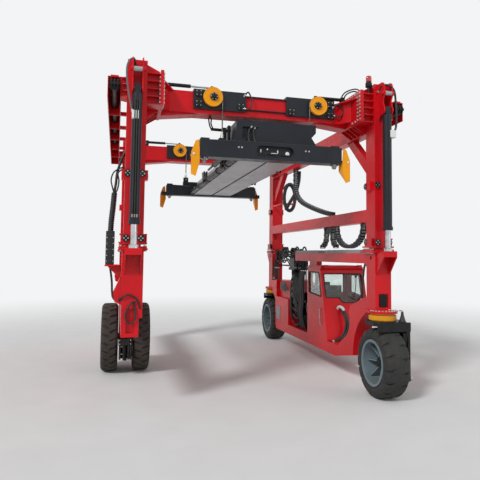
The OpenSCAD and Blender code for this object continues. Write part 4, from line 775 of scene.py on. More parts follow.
def cushion(low, high, crown, power=5.0, steps=(30, 48)):
    # P(t, w): rings shrink by (1 - |t|^p)^(1/p) towards both faces, and each ring is the superellipse
    # (sgn cos |cos|^(2/p), sgn sin |sin|^(2/p)); the middle of the upper face is raised by the crown
    low, high = np.asarray(low, float), np.asarray(high, float)
    middle, half = (low + high) / 2, (high - low) / 2
    t = np.sin(np.linspace(-0.49 * np.pi, 0.49 * np.pi, steps[0]))[:, None]
    w = around(steps[1])
    shrink = (1 - np.abs(t) ** power) ** (1 / power)
    x = shrink * np.sign(np.cos(w)) * np.abs(np.cos(w)) ** (2 / power)
    y = shrink * np.sign(np.sin(w)) * np.abs(np.sin(w)) ** (2 / power)
    z = t * (1 - crown * (x ** 2 + y ** 2) / 2)
    groove = 0.012 * np.exp(-((np.abs(x) - 0.62) / 0.05) ** 2) * (t > 0.2)  # sewn channels beside the middle panel
    return closeRings(np.stack([middle[0] + half[0] * x * (1 - 0.03 * y ** 2),
        middle[1] + half[1] * y * (1 - 0.03 * x ** 2), middle[2] + half[2] * z - groove], -1))


def leanBack(part, foot, angle):  # turns a part about an X line through its foot
    points, blocks = part
    c, s = math.cos(angle), math.sin(angle)
    y, z = points[:, 1] - foot[0], points[:, 2] - foot[1]
    return np.stack([points[:, 0], foot[0] + c * y + s * z, foot[1] - s * y + c * z], 1), blocks


seatX = 2.22
pad = makePiece("seatCushion", [cushion((seatX - 0.235, -0.545, 0.87), (seatX + 0.235, -0.1, 0.985), 0.35)],
    "lower_frame", "seatVinyl", ["cab_seat"], 60)
backrest = cushion((seatX - 0.225, -0.15, 0.0), (seatX + 0.225, 0.42, 0.11), 0.35)
points, blocks = leanBack(backrest, (-0.15, 0.0), -math.pi / 2 + 0.16)
rest = makePiece("seatBackrest", [(points + [0, 0.035, 0.985], blocks)], "lower_frame", "seatVinyl", (), 60)
steerY, steerZ, steerTilt, steerRadius = -0.74, 1.21, 0.45, 0.15
w = around(48)
steerRing = np.stack([seatX + steerRadius * np.cos(w), steerY + steerRadius * np.sin(w) * math.cos(steerTilt),
    steerZ + steerRadius * np.sin(w) * math.sin(steerTilt)], 1)
spokes = [tube([(seatX, steerY, steerZ - 0.015), tuple(steerRing[k])], 0.009, 8) for k in (0, 16, 32)]
bellows = [(0.12 + 0.012 * math.cos(2 * math.pi * h / 0.038), h) for h in np.linspace(0, 0.226, 61)]
levers = []
for foot, head in (((1.875, -0.48, 1.11), (1.872, -0.5, 1.21)), ((1.875, -0.3, 1.11), (1.878, -0.315, 1.2))):
    levers += [tube([foot, head], 0.01, 8), lathe([(0.01, 0), (0.022, 0.015), (0.02, 0.045), (0.008, 0.058)],
        (head[0], head[1] - 0.002, head[2] - 0.005), sides=14)]
makePiece("cabControls", [
    tube(steerRing, 0.014, 10, loop=True),
    *spokes,
    tube([(seatX, -0.79, 0.642), (seatX, -0.76, 1.1), (seatX, -0.742, 1.2)], 0.034, 14),
    lathe([(0.035, 0), (0.045, 0.015), (0.03, 0.035)], (seatX, -0.745, 1.185), (0, -0.43, 0.9), 18),
    lathe(bellows, (seatX, -0.3, 0.642), sides=32),
    block((1.812, -0.6, 0.64), (1.94, -0.12, 1.115), 0.012, 0.03),
    block((seatX - 0.3, -0.42, 1.06), (seatX - 0.24, -0.13, 1.105), 0.012, 0.02),
    block((seatX + 0.21, -0.42, 1.06), (seatX + 0.262, -0.13, 1.105), 0.012, 0.02),
    tube([(seatX - 0.27, -0.17, 1.07), (seatX - 0.24, -0.15, 0.93), (seatX - 0.2, -0.15, 0.9)], 0.014, 8),
    tube([(seatX + 0.237, -0.17, 1.07), (seatX + 0.22, -0.15, 0.93), (seatX + 0.19, -0.15, 0.9)], 0.014, 8),
    *levers,
    block((1.8, -0.8, 1.64), (1.92, -0.77, 1.795), 0.006, 0.01),
    tube([(1.775, -0.785, 1.56), (1.8, -0.785, 1.62), (1.85, -0.785, 1.66)], 0.01, 8),
    block((2.02, -0.17, 0.94), (2.42, -0.09, 0.99), 0.008, 0.02),
], "lower_frame", "moulding", ["cab_seat"])
makePiece("cabScreenGlow", [slab(roundedRect((1.808, 1.652), (1.912, 1.783), 0.006), -0.803, -0.799, 1, 0.001)],
    "lower_frame", "cabGlass")


def onScreen(line, off):  # (x, z) pairs laid so far in front of the windscreen
    return np.stack([line[:, 0], cabFront(line[:, 1]) - off, line[:, 1]], 1)


pivotX, pivotZ = 2.52, 1.905
armLine = np.array([(pivotX, pivotZ), (2.471, 1.64), (2.405, 1.44)])
bladeLine = np.array([(2.3, 1.5), (2.405, 1.445), (2.52, 1.395)])
makePiece("wiper", [tube(smoothLine(onScreen(armLine, 0.03), 20), 0.009, 8), tube(onScreen(bladeLine, 0.02), 0.008, 8),
    drum((pivotX, float(cabFront(pivotZ)) + 0.01, pivotZ), (0, -1, 0.1), 0.022, 0.045, 0.004, 16)], "lower_frame",
    "sealRubber")
# grab bar on the inner face, and the round lock below the windscreen
makePiece("cabFittings", [
    tube(smoothLine([(1.712, -0.8, 0.9), (1.69, -0.79, 0.93), (1.69, -0.76, 1.2), (1.712, -0.75, 1.23)], 24), 0.011, 8),
    drum((2.36, float(cabFront(0.95)) + 0.004, 0.95), (0, -1, 0), 0.016, 0.01, 0.002, 12),
], "lower_frame", "machinedSteel")
print("stage: cab made")

# Hoses and pipes fixed at both ends

hoses = {
    "lowerFrame": {"hoseRubber": [
        # in front of the cab, from the fitting on its face down to the side beam
        ([(2.075, -0.975, 1.255), (2.122, -1.08, 1.19), (2.16, -1.18, 1.0), (2.12, -1.2, 0.79), (1.985, -1.2, 0.65),
            (1.8, -1.21, 0.604)], 0.023),
        # cable behind the near right leg
        ([(1.84, -2.88, 2.24), (1.822, -2.76, 2.3), (1.79, -2.7, 2.18), (1.765, -2.7, 2.017), (1.752, -2.69, 1.83),
            (1.76, -2.64, 1.56)], 0.018),
        # engine to radiator and to the pipes
        ([(2.15, 0.41, 1.42), (2.15, 0.45, 1.5), (2.17, 0.52, 1.52), (2.2, 0.6, 1.43)], 0.03),
        ([(2.02, 0.41, 0.78), (2.0, 0.45, 0.76), (2.0, 0.5, 0.8), (2.04, 0.56, 0.86)], 0.03),
        ([(2.02, 1.18, 1.06), (1.98, 1.26, 1.1), (1.95, 1.3, 1.25), (1.935, 1.31, 1.42)], 0.022),
        ([(2.06, 1.18, 0.98), (2.05, 1.27, 0.99), (1.995, 1.3, 1.1), (1.985, 1.31, 1.3)], 0.022),
        ([(1.925, 0.7, 1.25), (1.84, 0.76, 1.2), (1.81, 0.9, 1.02), (1.85, 1.08, 0.9), (1.93, 1.18, 0.86)], 0.02),
        # valve bank to the tank and along the deck beam
        ([(1.78, 1.1, 2.04), (1.76, 1.02, 2.12), (1.8, 0.96, 2.24), (1.8, 0.93, 2.33)], 0.02),
        ([(1.88, 1.1, 2.04), (1.87, 1.02, 2.11), (1.85, 0.96, 2.24), (1.85, 0.93, 2.33)], 0.02),
        # down the far right leg's inner side
        ([(1.9, 2.9, 2.07), (1.76, 2.905, 2.0), (1.735, 2.895, 1.86), (1.76, 2.88, 1.7)], 0.018),
    ], "greyHose": [
        ([(2.36, 1.18, 1.24), (2.43, 1.24, 1.3), (2.44, 1.33, 1.22), (2.42, 1.45, 1.1)], 0.018),
    ]},
    "upperFrame": {"hoseRubber": [
        # near right barrel: over the mast head and down to the port
        ([(1.783, -3.26, 5.18), (1.8, -3.4, 5.262), (1.904, -3.44, 5.245), (1.99, -3.45, 5.14), (2.016, -3.45, 4.8),
            (2.012, -3.45, 4.56), (1.965, -3.45, 4.424)], 0.018),
        # near left barrel: three pipes down its front
        *[([(-2.3 + d, y, z) for y, z in ((-3.4, 4.7), (-3.48, 4.64), (-3.497, 4.5), (-3.497, 3.2), (-3.494, 3.0),
            (-3.47, 2.9))], 0.01) for d in (-0.004, 0.028, 0.06)],
        # far barrels
        *[([(c + s * x, y, z) for x, y, z in ((0.0, 3.18, 5.31), (0.02, 3.38, 5.36), (0.16, 3.47, 5.17),
            (0.185, 3.45, 4.8), (0.16, 3.44, 4.424))], 0.017) for c, s in ((1.8, 1), (-2.19, -1))],
        # along the top side beams
        *[([(x + d, y, 4.752) for x, y in ((0.0, -2.88), (0.005, -2.0), (0.002, 0.0), (0.005, 2.0),
            (0.0, 2.88))], 0.012) for d in (1.76, 1.79, 1.82, -2.17, -2.14)],
        # from the beams' ends to the side-shift cylinders
        ([(1.44, -2.56, 5.215), (1.47, -2.64, 5.3), (1.56, -2.78, 5.32), (1.64, -2.88, 5.24),
            (1.7, -2.92, 5.18)], 0.012),
        ([(1.4, -2.54, 5.245), (1.44, -2.65, 5.33), (1.56, -2.82, 5.35), (1.65, -2.9, 5.27),
            (1.72, -2.93, 5.19)], 0.012),
        ([(-1.85, -2.56, 5.215), (-1.88, -2.66, 5.3), (-1.99, -2.8, 5.31), (-2.08, -2.9, 5.23),
            (-2.124, -2.94, 5.18)], 0.012),
    ], "greyHose": [
        ([(-2.3, -3.23, 5.2), (-2.33, -3.4, 5.285), (-2.4, -3.445, 5.235), (-2.436, -3.45, 5.11), (-2.422, -3.45, 4.88),
            (-2.38, -3.45, 4.64), (-2.336, -3.45, 4.46)], 0.014),
    ]},
    "carriages": {"hoseRubber": [
        ([(1.19, -2.64, 5.02), (1.29, -2.69, 5.08), (1.37, -2.7, 4.96), (1.32, -2.69, 4.86),
            (1.2, -2.65, 4.88)], 0.014),
        ([(-0.45, -2.645, 5.09), (-0.39, -2.7, 5.15), (-0.33, -2.705, 5.0), (-0.37, -2.7, 4.86),
            (-0.45, -2.65, 4.87)], 0.013),
    ]},
    "spreader": {"hoseRubber": [
        # cable along the near end bar's top, and to the guides
        ([(-1.18, -2.99, 4.215), (-0.8, -3.06, 4.206), (-0.3, -3.08, 4.207), (0.3, -3.07, 4.206), (0.8, -3.06, 4.207),
            (1.08, -2.99, 4.215)], 0.01),
        ([(-1.18, 2.88, 4.215), (-0.8, 2.94, 4.206), (0.0, 2.95, 4.207), (0.7, 2.94, 4.206),
            (1.08, 2.87, 4.215)], 0.01),
        ([(-0.3, -2.83, 4.5), (-0.34, -2.88, 4.44), (-0.33, -2.9, 4.3), (-0.3, -2.96, 4.22),
            (-0.25, -3.04, 4.206)], 0.013),
        ([(-0.36, -2.83, 4.52), (-0.42, -2.89, 4.44), (-0.43, -2.9, 4.3), (-0.41, -2.95, 4.22),
            (-0.36, -3.04, 4.206)], 0.013),
        ([(-0.04, -2.0, 4.215), (-0.02, -1.0, 4.212), (-0.045, 0.0, 4.215), (-0.03, 1.2, 4.212),
            (-0.04, 2.7, 4.215)], 0.014),
        ([(0.01, -2.0, 4.215), (0.02, -1.0, 4.212), (0.0, 0.0, 4.215), (0.015, 1.2, 4.212), (0.01, 2.7, 4.215)], 0.014),
    ]},
}
bodyOf = {"lowerFrame": "lower_frame", "upperFrame": "upper_frame", "carriages": "carriages", "spreader": "spreader"}
crimp = ((1.18, 0), (1.34, 0.004), (1.34, 0.026), (1.16, 0.03), (1.62, 0.031), (1.62, 0.044), (1.1, 0.047))
for place, kinds in hoses.items():
    lines = {kind: [(smoothLine(knots, 10 * len(knots)), r) for knots, r in runs] for kind, runs in kinds.items()}
    for kind, runs in lines.items():
        makePiece(place + kind[0].upper() + kind[1:] + "s", [tube(line, r, 12) for line, r in runs], bodyOf[place],
            kind, sharp=60)
    # a crimped ferrule at both ends of each hose, six-sided on thin ones
    ends = [(line[e], line[e] - line[1 if e == 0 else -2], r) for runs in lines.values() for line, r in runs
        for e in (0, -1)]
    ferrules = [lathe([(r * wide, h) for wide, h in crimp], p - 0.038 * d / np.linalg.norm(d), d,
        6 if r < 0.012 else 12) for p, d, r in ends]
    makePiece(place + "Ferrules", ferrules, bodyOf[place], "zincPlate", sharp=30)

# Ring of ribbed hose between the far right leg and the energy chain, its red bracket, and the coils at the valve bank
w = np.linspace(0, 2 * np.pi * 1.4, 130)
ring = np.stack([1.905 + 0.155 * np.cos(w), 1.9 + 0.012 * w, 3.885 + 0.35 * np.sin(w)], 1)
ringTail = smoothLine([(1.96, 1.33, 4.5), (1.965, 1.4, 4.25), (1.95, 1.6, 3.98), (1.85, 1.8, 3.72), (1.8, 1.95, 3.56)],
    60)
makePiece("legConduit", [ribbed(ring, 0.046, 0.034), ribbed(ringTail, 0.044, 0.034)], "upper_frame", "ribbedNylon",
    sharp=60)
makePiece("conduitBracket", [block((1.76, 1.93, 3.69), (2.06, 2.01, 3.73)),
    block((1.72, 1.96, 3.7), (1.765, 2.86, 3.74))], "upper_frame", "redEnamel")
turns = np.linspace(0, 2 * np.pi * 3.5, 170)
coils = [np.stack([x + 0.0055 * turns, y + r * np.sin(turns), z + r * np.cos(turns)], 1)
    for x, y, z, r in ((1.745, 1.24, 2.4, 0.13), (1.76, 2.0, 2.44, 0.12), (1.74, 2.45, 2.33, 0.15))]
makePiece("deckHoseCoils", [tube(coil, 0.016, 10) for coil in coils], "lower_frame", "hoseRubber", sharp=60)
makePiece("barrelPorts", [block((low, along * barrelY - 0.05, 4.35), (high, along * barrelY + 0.05, 4.48), 0.008, 0.01)
    for low, high in ((legX[-1] - 0.075, legX[-1] + 0.035), (legX[1] + 0.019, legX[1] + 0.121)) for along in (-1, 1)],
    "upper_frame", "whiteMoulding")
makePiece("pipeClips", [block((-2.322, -3.5, z), (-2.222, -3.47, z + 0.03), 0.004, 0.008)
    for z in (4.55, 4.1, 3.65, 3.2)], "upper_frame", "blackEnamel")
print("stage: hoses made")

# Energy chains: pairs of side plates at every step, by turns outer and inner, crossbars, and the hoses they carry

chainLook = {"pitch": 0.06, "plate": 0.007, "bar": 0.018}


def stations(line, pitch):
    # middles of equal steps along a line in an X plane, with three directions at each: X, along, and X x along
    line = evenly(np.asarray(line, float), pitch)
    slope = unit(np.diff(line, axis=0))
    side = np.tile([1.0, 0.0, 0.0], (len(slope), 1))
    return (line[1:] + line[:-1]) / 2, np.stack([side, slope, np.cross(side, slope)], 1)


def chain(line, wide, thick):
    # plates at even and odd stations, the odd pair inside the even one, and a bar on both faces at every station
    places, frames = stations(line, chainLook["pitch"])
    reach, plate, bar = chainLook["pitch"] * 0.56, chainLook["plate"], chainLook["bar"] / 2
    parts = []
    for turn in (0, 1):
        for side in (-1, 1):
            x = side * (wide / 2 - turn * plate) - (plate if side > 0 else 0)
            outline = roundedRect((-reach, -thick / 2), (reach, thick / 2), thick * 0.3)
            parts.append(repeat(slab(outline, x, x + plate, 0, 0.0015), places[turn::2], frames[turn::2]))
    bars = [repeat(block((-wide / 2 + 0.014, -bar, z), (wide / 2 - 0.014, bar, z + 0.008), 0.002, 0.004), places,
        frames) for z in (-thick / 2, thick / 2 - 0.008)]
    return parts, bars


def inX(x, pairs):  # a line of (y, z) pairs at one X
    pairs = np.asarray(pairs, float)
    return np.column_stack([np.full(len(pairs), x), pairs])


def curve(*points, steps=24):  # a bow in a plane
    return bow(*[(*point, 0.0) for point in points], steps)[:, :2]


chainX = 1.815
loopLine = np.vstack([[(-2.62, 2.95)], curve((-2.62, 2.91), (-2.62, 2.405), (-1.4, 2.405), (-1.4, 2.91), steps=40),
    [(-1.4, 2.95)]])
bowLine = np.vstack([curve((-1.195, 3.217), (-0.9, 3.23), (0.3, 3.5), (0.7, 3.64)),
    curve((0.79, 3.68), (1.05, 3.78), (1.2, 3.9), (1.2, 4.2)), [(1.2, 4.52)]])
horns = [np.vstack([[(p, 2.95)], curve((p, 2.91), (p, 2.72), (p + d, 2.62), (q - d, 2.535))])
    for p, q, d in ((-1.19, -1.34, 0.04), (-0.85, -0.64, -0.04))]
chainParts, chainBars = [], []
for line, wide, thick in [(loopLine, 0.11, 0.07), (bowLine, 0.11, 0.09)] + [(horn, 0.1, 0.08) for horn in horns]:
    parts, bars = chain(inX(chainX, line), wide, thick)
    chainParts += parts
    chainBars += bars
teeth = [block((1.772, y, 2.945), (1.858, y + 0.02, 2.985), 0.003, 0.004) for y in np.arange(-1.19, -0.86, 0.04)]
makePiece("energyChainLinks", chainParts + [block((1.78, -1.2, 2.82), (1.85, -0.84, 2.95), 0.006, 0.008)] + teeth,
    "upper_frame", "ribbedNylon", ["energy_chain"])
makePiece("energyChainBars", chainBars, "upper_frame", "trayGreyEnamel")
makePiece("energyChainHoses", [tube(inX(chainX + d, line), 0.013, 8) for line in [loopLine, bowLine] + horns
    for d in (-0.029, 0.0, 0.029)], "upper_frame", "hoseRubber", sharp=60)

# Deck trays' lids, with a lap every 300 mm
lids = []
for low, high in ((-2.643, -0.963), (-0.606, 0.933)):
    lids.append(block((1.727, low, 2.4), (1.913, high, 2.468), 0.004, 0.006))
    lids += [block((1.724, y, 2.402), (1.916, y + 0.02, 2.471), 0.003, 0.004)
        for y in np.arange(low + 0.28, high - 0.05, 0.3)]
makePiece("deckTrayLids", lids, "lower_frame", "trayGreyEnamel")

# Mast pads' black covers, sleeves of the mast-head pins, rollers' flanges on the carriages
makePiece("padCovers", [drum((legX[across] + side, along * (legY + 0.184), z), (0, along, 0), 0.055, 0.01, 0.003, 28)
    for across, along in everyLeg for z in padHeights for side in padSides], "upper_frame", "blackEnamel")
makePiece("pinSleeves", [drum((legX[across] - 0.082, along * 3.445, 5.12), (1, 0, 0), 0.036, 0.164, 0.003, 28)
    for across, along in everyLeg], "upper_frame", "paleGreyEnamel")
rollers = [(-1.24, 5.08), (-1.24, 4.9), (-0.51, 4.9), (0.41, 4.88), (1.14, 5.07), (1.14, 4.87)]
rollerEdge = [(0.05, 0), (0.062, 0.003), (0.062, 0.024), (0.044, 0.028), (0.03, 0.036), (0.012, 0.038)]
makePiece("rollerFlanges", [lathe(rollerEdge, (x, -2.646, z), (0, -1, 0), 32) for x, z in rollers], "carriages",
    "blackEnamel")
makePiece("rollerBolts", [boltRing((x, -2.672, z), (0, -1, 0), 0.048, 4, 0.45, 0.78) for x, z in rollers], "carriages",
    "zincPlate")

for side, facing in (("right", 1), ("left", -1)):  # the inner faces of the right and left masts carry the same covers
    sites = [(middleX + facing * 1.866, along * 2.975, z) for along in (-1, 1) for z in (2.6, 3.57)]
    makePiece(side + "InnerPadCovers", [drum(site, (facing, 0, 0), 0.055, 0.06, 0.003, 28) for site in sites],
        "upper_frame", "blackEnamel")
    makePiece(side + "InnerPadBolts", [boltRing(site, (-facing, 0, 0), 0.03, 4, 0.55) for site in sites], "upper_frame",
        "zincPlate")

# Beacon: black post and base under a red dome
beaconAt = (1.64, -3.185)
makePiece("beaconBase", [lathe([(0.028, 5.168), (0.028, 5.278), (0.056, 5.28), (0.058, 5.284), (0.058, 5.35),
    (0.055, 5.353), (0.045, 5.354), (0.045, 5.38)], (*beaconAt, 0.0), sides=36)], "upper_frame", "blackEnamel",
    ["beacon"])
makePiece("beaconDome", [lathe([(0.049, 5.378), (0.05, 5.381), (0.05, 5.44), (0.047, 5.46), (0.038, 5.474),
    (0.022, 5.481), (0.006, 5.483)], (*beaconAt, 0.0), sides=40)], "upper_frame", "beaconLens", ["beacon"], 60)

# End bar's slot: valves and their hoses, two bolts each side, guide pins' caps; the black tube beside the left beam
valves = [block((x - w / 2, -3.092, z), (x + w / 2, -3.06, z + h), 0.003, 0.004)
    for x, z, w, h in ((-0.262, 4.04, 0.014, 0.055), (-0.15, 4.09, 0.02, 0.02), (-0.03, 4.03, 0.11, 0.012),
    (0.03, 4.04, 0.014, 0.05))]
valves.append(lathe([(0.01, 0), (0.036, 0.008), (0.036, 0.02), (0.02, 0.03)], (0.2, -3.06, 4.04), (0, -1, 0), 24))
makePiece("slotValves", valves + [drum((s * 1.322 - 0.052, -3.137, 3.95), (0, -1, 0), 0.02, 0.006, 0.002, 20)
    for s in (-1, 1)], "spreader", "whiteMoulding")
runHoses("slotHoses", [([(a, -3.06, 4.02), (a + 0.03, -3.095, 4.01), (b - 0.03, -3.095, 4.005), (b, -3.06, 4.03)], 0.01)
    for a, b in ((-0.32, -0.2), (-0.12, 0.05), (0.11, 0.26), (-0.06, 0.02))], "spreader", "hoseRubber", 24, 8)
makePiece("slotBolts", [bolts([(x, -3.1115, 4.1) for x in (-0.641, -0.588, 0.511, 0.571)], (0, -1, 0), 0.7)],
    "spreader", "zincPlate")
tubeX, tubeZ = -0.607, 4.005
makePiece("spreaderTube", [drum((tubeX, -2.8615, tubeZ), (0, 1, 0), 0.0565, 5.603, 0.003, 36),
    *[drum((tubeX, y, tubeZ), (0, 1, 0), 0.07, 0.06, 0.006, 36) for y in (-2.7, -2.1, -1.2, 0.0, 1.2, 2.5)]],
    "spreader", "blackEnamel")

# Headblock's side: hose bridge with two black boxes, and rods of the side-shift cylinders
makePiece("hoseBridge", [tube([(-0.989, -2.45, 4.52), (-0.64, -2.45, 4.514)], 0.026, 16),
    block((-0.7, -2.5, 4.3), (-0.652, -2.38, 4.6), 0.006, 0.008),
    block((-0.8, -2.48, 4.3), (-0.72, -2.4, 4.56), 0.006, 0.008),
    block((-0.82, -2.52, 4.215), (-0.64, -2.36, 4.3), 0.006, 0.008),
    tube(smoothLine([(-0.985, -2.45, 4.52), (-1.015, -2.45, 4.59), (-1.03, -2.45, 4.69), (-1.01, -2.45, 4.74),
        (-0.985, -2.45, 4.7), (-0.99, -2.45, 4.62), (-0.96, -2.45, 4.54)], 40), 0.012, 8)], "spreader", "blackEnamel")

makePiece("shiftRods", [drum((x, y, 5.21), (1, 0, 0), 0.0156, length, 0.001, 20)
    for x, length in ((-1.4, 0.41), (0.885, 0.11)) for y in (-2.553, 2.317)], "carriages", "hardChrome")

# Lugs with their pins beside the main beams, and a small cylinder along the left one
ramX, ramZ = -0.73, 4.09
lugs, lugPins = [], []
for x, y in ((-0.655, -1.85), (0.452, -1.75), (-0.655, 0.25), (0.452, 0.15)):
    cheek = softOutline([(y - 0.17, 4.19), (y + 0.17, 4.19), (y + 0.05, 3.93), (y - 0.05, 3.93)], 0.035)
    lugs += [slab(cheek, x + d, x + d + 0.022, 0, 0.003) for d in (-0.04, 0.018)]
    lugPins.append(drum((x - 0.046, y, 3.985), (1, 0, 0), 0.024, 0.092, 0.003, 20))
lugs += [drum((ramX, -2.3, ramZ), (0, 1, 0), 0.048, 0.9, 0.006, 28),
    drum((ramX, -1.42, ramZ), (0, 1, 0), 0.054, 0.06, 0.006, 28)]
makePiece("beamLugs", lugs, "spreader", "blackEnamel")
makePiece("beamLugPins", lugPins + [drum((ramX, -1.4, ramZ), (0, 1, 0), 0.022, 0.7, 0.003, 20)], "spreader",
    "blackEnamel")

# Right feet: louvred vents in their recesses; a level rod with its ribbed boot at the near one
vents, ventX = [], 1.868
for along in (-1, 1):
    face = along * 3.238
    low, high = sorted((face, face + along * 0.014))
    outline = roundedRect((ventX - 0.066, 1.497), (ventX + 0.066, 1.713), 0.024)
    vents.append(slab(outline, face - 0.006, face + 0.006, 1, 0.003))
    vents += [block((ventX - 0.05, low, z), (ventX + 0.05, high, z + 0.009), 0.002, 0.003)
        for z in np.arange(1.52, 1.69, 0.021)]
makePiece("footVents", vents, "lower_frame", "blackEnamel")
runHoses("levelRod", [([(1.96, -3.236, 1.452), (1.994, -3.262, 1.449), (2.1, -3.262, 1.44), (2.15, -3.3, 1.44),
    (2.15, -3.38, 1.438), (2.128, -3.42, 1.436)], 0.009)], "lower_frame", "zincPlate", 40)
makePiece("levelBoot", [lathe([(0.064, 0), (0.066, 0.006), (0.052, 0.02), (0.028, 0.1), (0.022, 0.13), (0.022, 0.16),
    (0.012, 0.166)], (2.118, -3.42, 1.268), sides=28)], "near_fork", "ribbedNylon")

# Forks: outer cheek plates with a towing eye at the lower near corner
for name, along in (("near", -1), ("far", 1)):
    cheek = [(0.25, 1.25), (-0.25, 1.25), (-0.25, 0.76), (-0.15, 0.45), (0.1, 0.42), (0.175, 0.29), (0.25, 0.29)]
    outline = softOutline([(along * (wheelY + y), z) for y, z in cheek], 0.03)
    lip = slab(roundedRect((1.64, 1.11), (2.246, 1.262), 0.012), *sorted((along * 3.452, along * 3.474)), 1, 0.003)
    corner = slab(softOutline([(2.206, 1.24), (2.02, 1.24), (2.06, 1.19), (2.15, 1.13), (2.206, 0.98)], 0.02),
        *sorted((along * 3.44, along * 3.455)), 1, 0.002)
    makePiece(name + "ForkCheek", [slab(outline, 2.204, 2.246, 0, 0.003), lip, corner], name + "_fork", "blackEnamel")
    eye = [(0.02, -0.006), (0.032, -0.006), (0.034, 0.0), (0.032, 0.034), (0.02, 0.034)]
    makePiece(name + "TowEye", [lathe(eye, (2.246, along * (wheelY + 0.216), 0.335), (1, 0, 0), 28, True)],
        name + "_fork", "machinedSteel")

# Engine side: hoses from the valve bank to the far leg and down into the bay, vents and plate on the tank
runs = []
for k in range(8):
    a, b = k / 7, math.sin(2.4 * k)
    runs.append(([(1.79 + 0.1 * a, 1.5, 2.08 + 0.36 * a), (1.77 + 0.05 * b, 1.72, 2.22 + 0.24 * a),
        (1.8 + 0.04 * b, 2.05, 2.16 + 0.22 * a + 0.04 * b), (1.78 + 0.06 * a, 2.45, 2.2 + 0.16 * a - 0.04 * b),
        (1.8 + 0.1 * a, 2.89, 2.05 + 0.1 * a)], 0.017))
for k in range(6):
    a = k / 5
    runs.append(([(1.78 + 0.2 * a, 1.32 + 0.05 * a, 2.0), (1.775 + 0.18 * a, 1.3, 1.86),
        (1.8 + 0.14 * a, 1.24 + 0.1 * a, 1.56), (1.79 + 0.16 * a, 1.2 + 0.2 * a, 1.24),
        (1.85 + 0.1 * a, 1.12 + 0.12 * a, 0.9 + 0.1 * a)], 0.019))
for k in range(3):
    runs.append(([(1.76 + 0.05 * k, 2.62, 2.28), (1.74 + 0.05 * k, 2.7, 2.2), (1.735 + 0.05 * k, 2.72, 1.95),
        (1.75 + 0.04 * k, 2.7, 1.65)], 0.018))
runHoses("bankHoses", runs, "lower_frame", "hoseRubber", 40)
makePiece("hoseBands", [drum((1.745 + 0.048 * k, 2.718, 1.99), (0, 0, 1), 0.022, 0.034, 0.003, 18) for k in range(3)],
    "lower_frame", "whiteMoulding")
grille = [slab(roundedRect((1.64, 1.42), (2.1, 1.655), 0.05), *tankSkin, 0, 0.003)]
grille += [block((1.704, 1.68, z), (1.716, 2.06, z + 0.012), 0.002, 0.004) for z in np.arange(1.45, 1.63, 0.026)]
makePiece("tankGrille", grille, "lower_frame", "blackEnamel")
makePiece("tankPlate", [slab(roundedRect((2.14, 0.65), (2.45, 0.99), 0.012), *tankSkin, 0, 0.002)], "lower_frame",
    "trayGreyEnamel")
bay = []
for k in range(6):  # a thick bundle beside the cab's back wall
    b, c = math.sin(2.1 * k), math.cos(3.7 * k)
    y = 0.5 + 0.052 * k
    bay.append(([(1.81, y, 1.98), (1.775, y + 0.02 * c, 1.7), (1.785, y - 0.02 * b, 1.3), (1.77, y + 0.03 * c, 0.96),
        (1.83, y + 0.02 * b, 0.64)], 0.027))
for k in range(9):  # loops over the engine's front, wide ones and narrow ones by turns
    a, b, c = k / 8, math.sin(2.7 * k + 0.4), math.cos(4.1 * k)
    left, right = 0.84 + 0.3 * (1 - a) * (0.6 + 0.4 * b), 1.42 - 0.05 * c
    low, high, middle = 0.76 + 0.55 * a, 1.28 + 0.55 * a + 0.05 * b, (left + right) / 2
    bay.append(([(1.86, left, low), (1.78, left - 0.05, low + 0.2), (1.755 + 0.02 * c, middle - 0.08, high),
        (1.765, middle + 0.14, high - 0.05), (1.775, right - 0.04, low + 0.1), (1.85, right, low - 0.06)],
        0.016 + 0.007 * (k % 3)))
for k in range(4):
    b = math.cos(1.7 * k)
    bay.append(([(1.86, 0.82, 0.7 + 0.16 * k), (1.78, 0.98 + 0.04 * b, 0.66 + 0.17 * k), (1.77, 1.18, 0.74 + 0.15 * k),
        (1.85, 1.4, 0.7 + 0.18 * k)], 0.02))
runHoses("bayHoses", bay, "lower_frame", "hoseRubber", 36, 9)

# Under the near end of the left beam: guard plate with its pins over the axle's swivel
plates = [block((x, -0.8, 0.33), (x + 0.034, -0.56, 0.72), 0.004, 0.006) for x in (-2.415, -2.345, -2.255, -2.215)]
plates += [block((-2.42, -0.79, 0.6), (-2.17, -0.76, 0.722), 0.004, 0.006),
    drum((-2.3, -0.7, 0.3), (0, 0, 1), 0.036, 0.3, 0.004, 20)]
makePiece("axleGuard", plates, "lower_frame", "blackEnamel")
makePiece("axleGuardPins", [drum((x, -0.68, z), (1, 0, 0), 0.015, length, 0.003, 14)
    for x, z, length in ((-2.415, 0.42, 0.15), (-2.26, 0.4, 0.085), (-2.415, 0.56, 0.15))]
    + [bolts([(-2.405, -0.792, 0.7), (-2.2, -0.792, 0.7), (-2.405, -0.792, 0.625), (-2.2, -0.792, 0.625)], (0, -1, 0),
    0.7)], "lower_frame", "zincPlate")

# Cab front: two more hoses beside the first and their pale elbow
front = np.array(hoses["lowerFrame"]["hoseRubber"][0][0])
runHoses("cabFrontHoses", [(front + np.outer([0, 1, 1, 1, 1, 0.4], shift), 0.02)
    for shift in ((-0.044, 0.02, 0.0), (-0.02, 0.05, -0.03))], "lower_frame", "hoseRubber", 60, 12)
runHoses("cabHoseElbow", [([(2.03, -0.945, 1.24), (2.035, -0.99, 1.28), (2.075, -1.04, 1.275), (2.112, -1.085, 1.215)],
    0.03)], "lower_frame", "whiteMoulding", 24, 14)
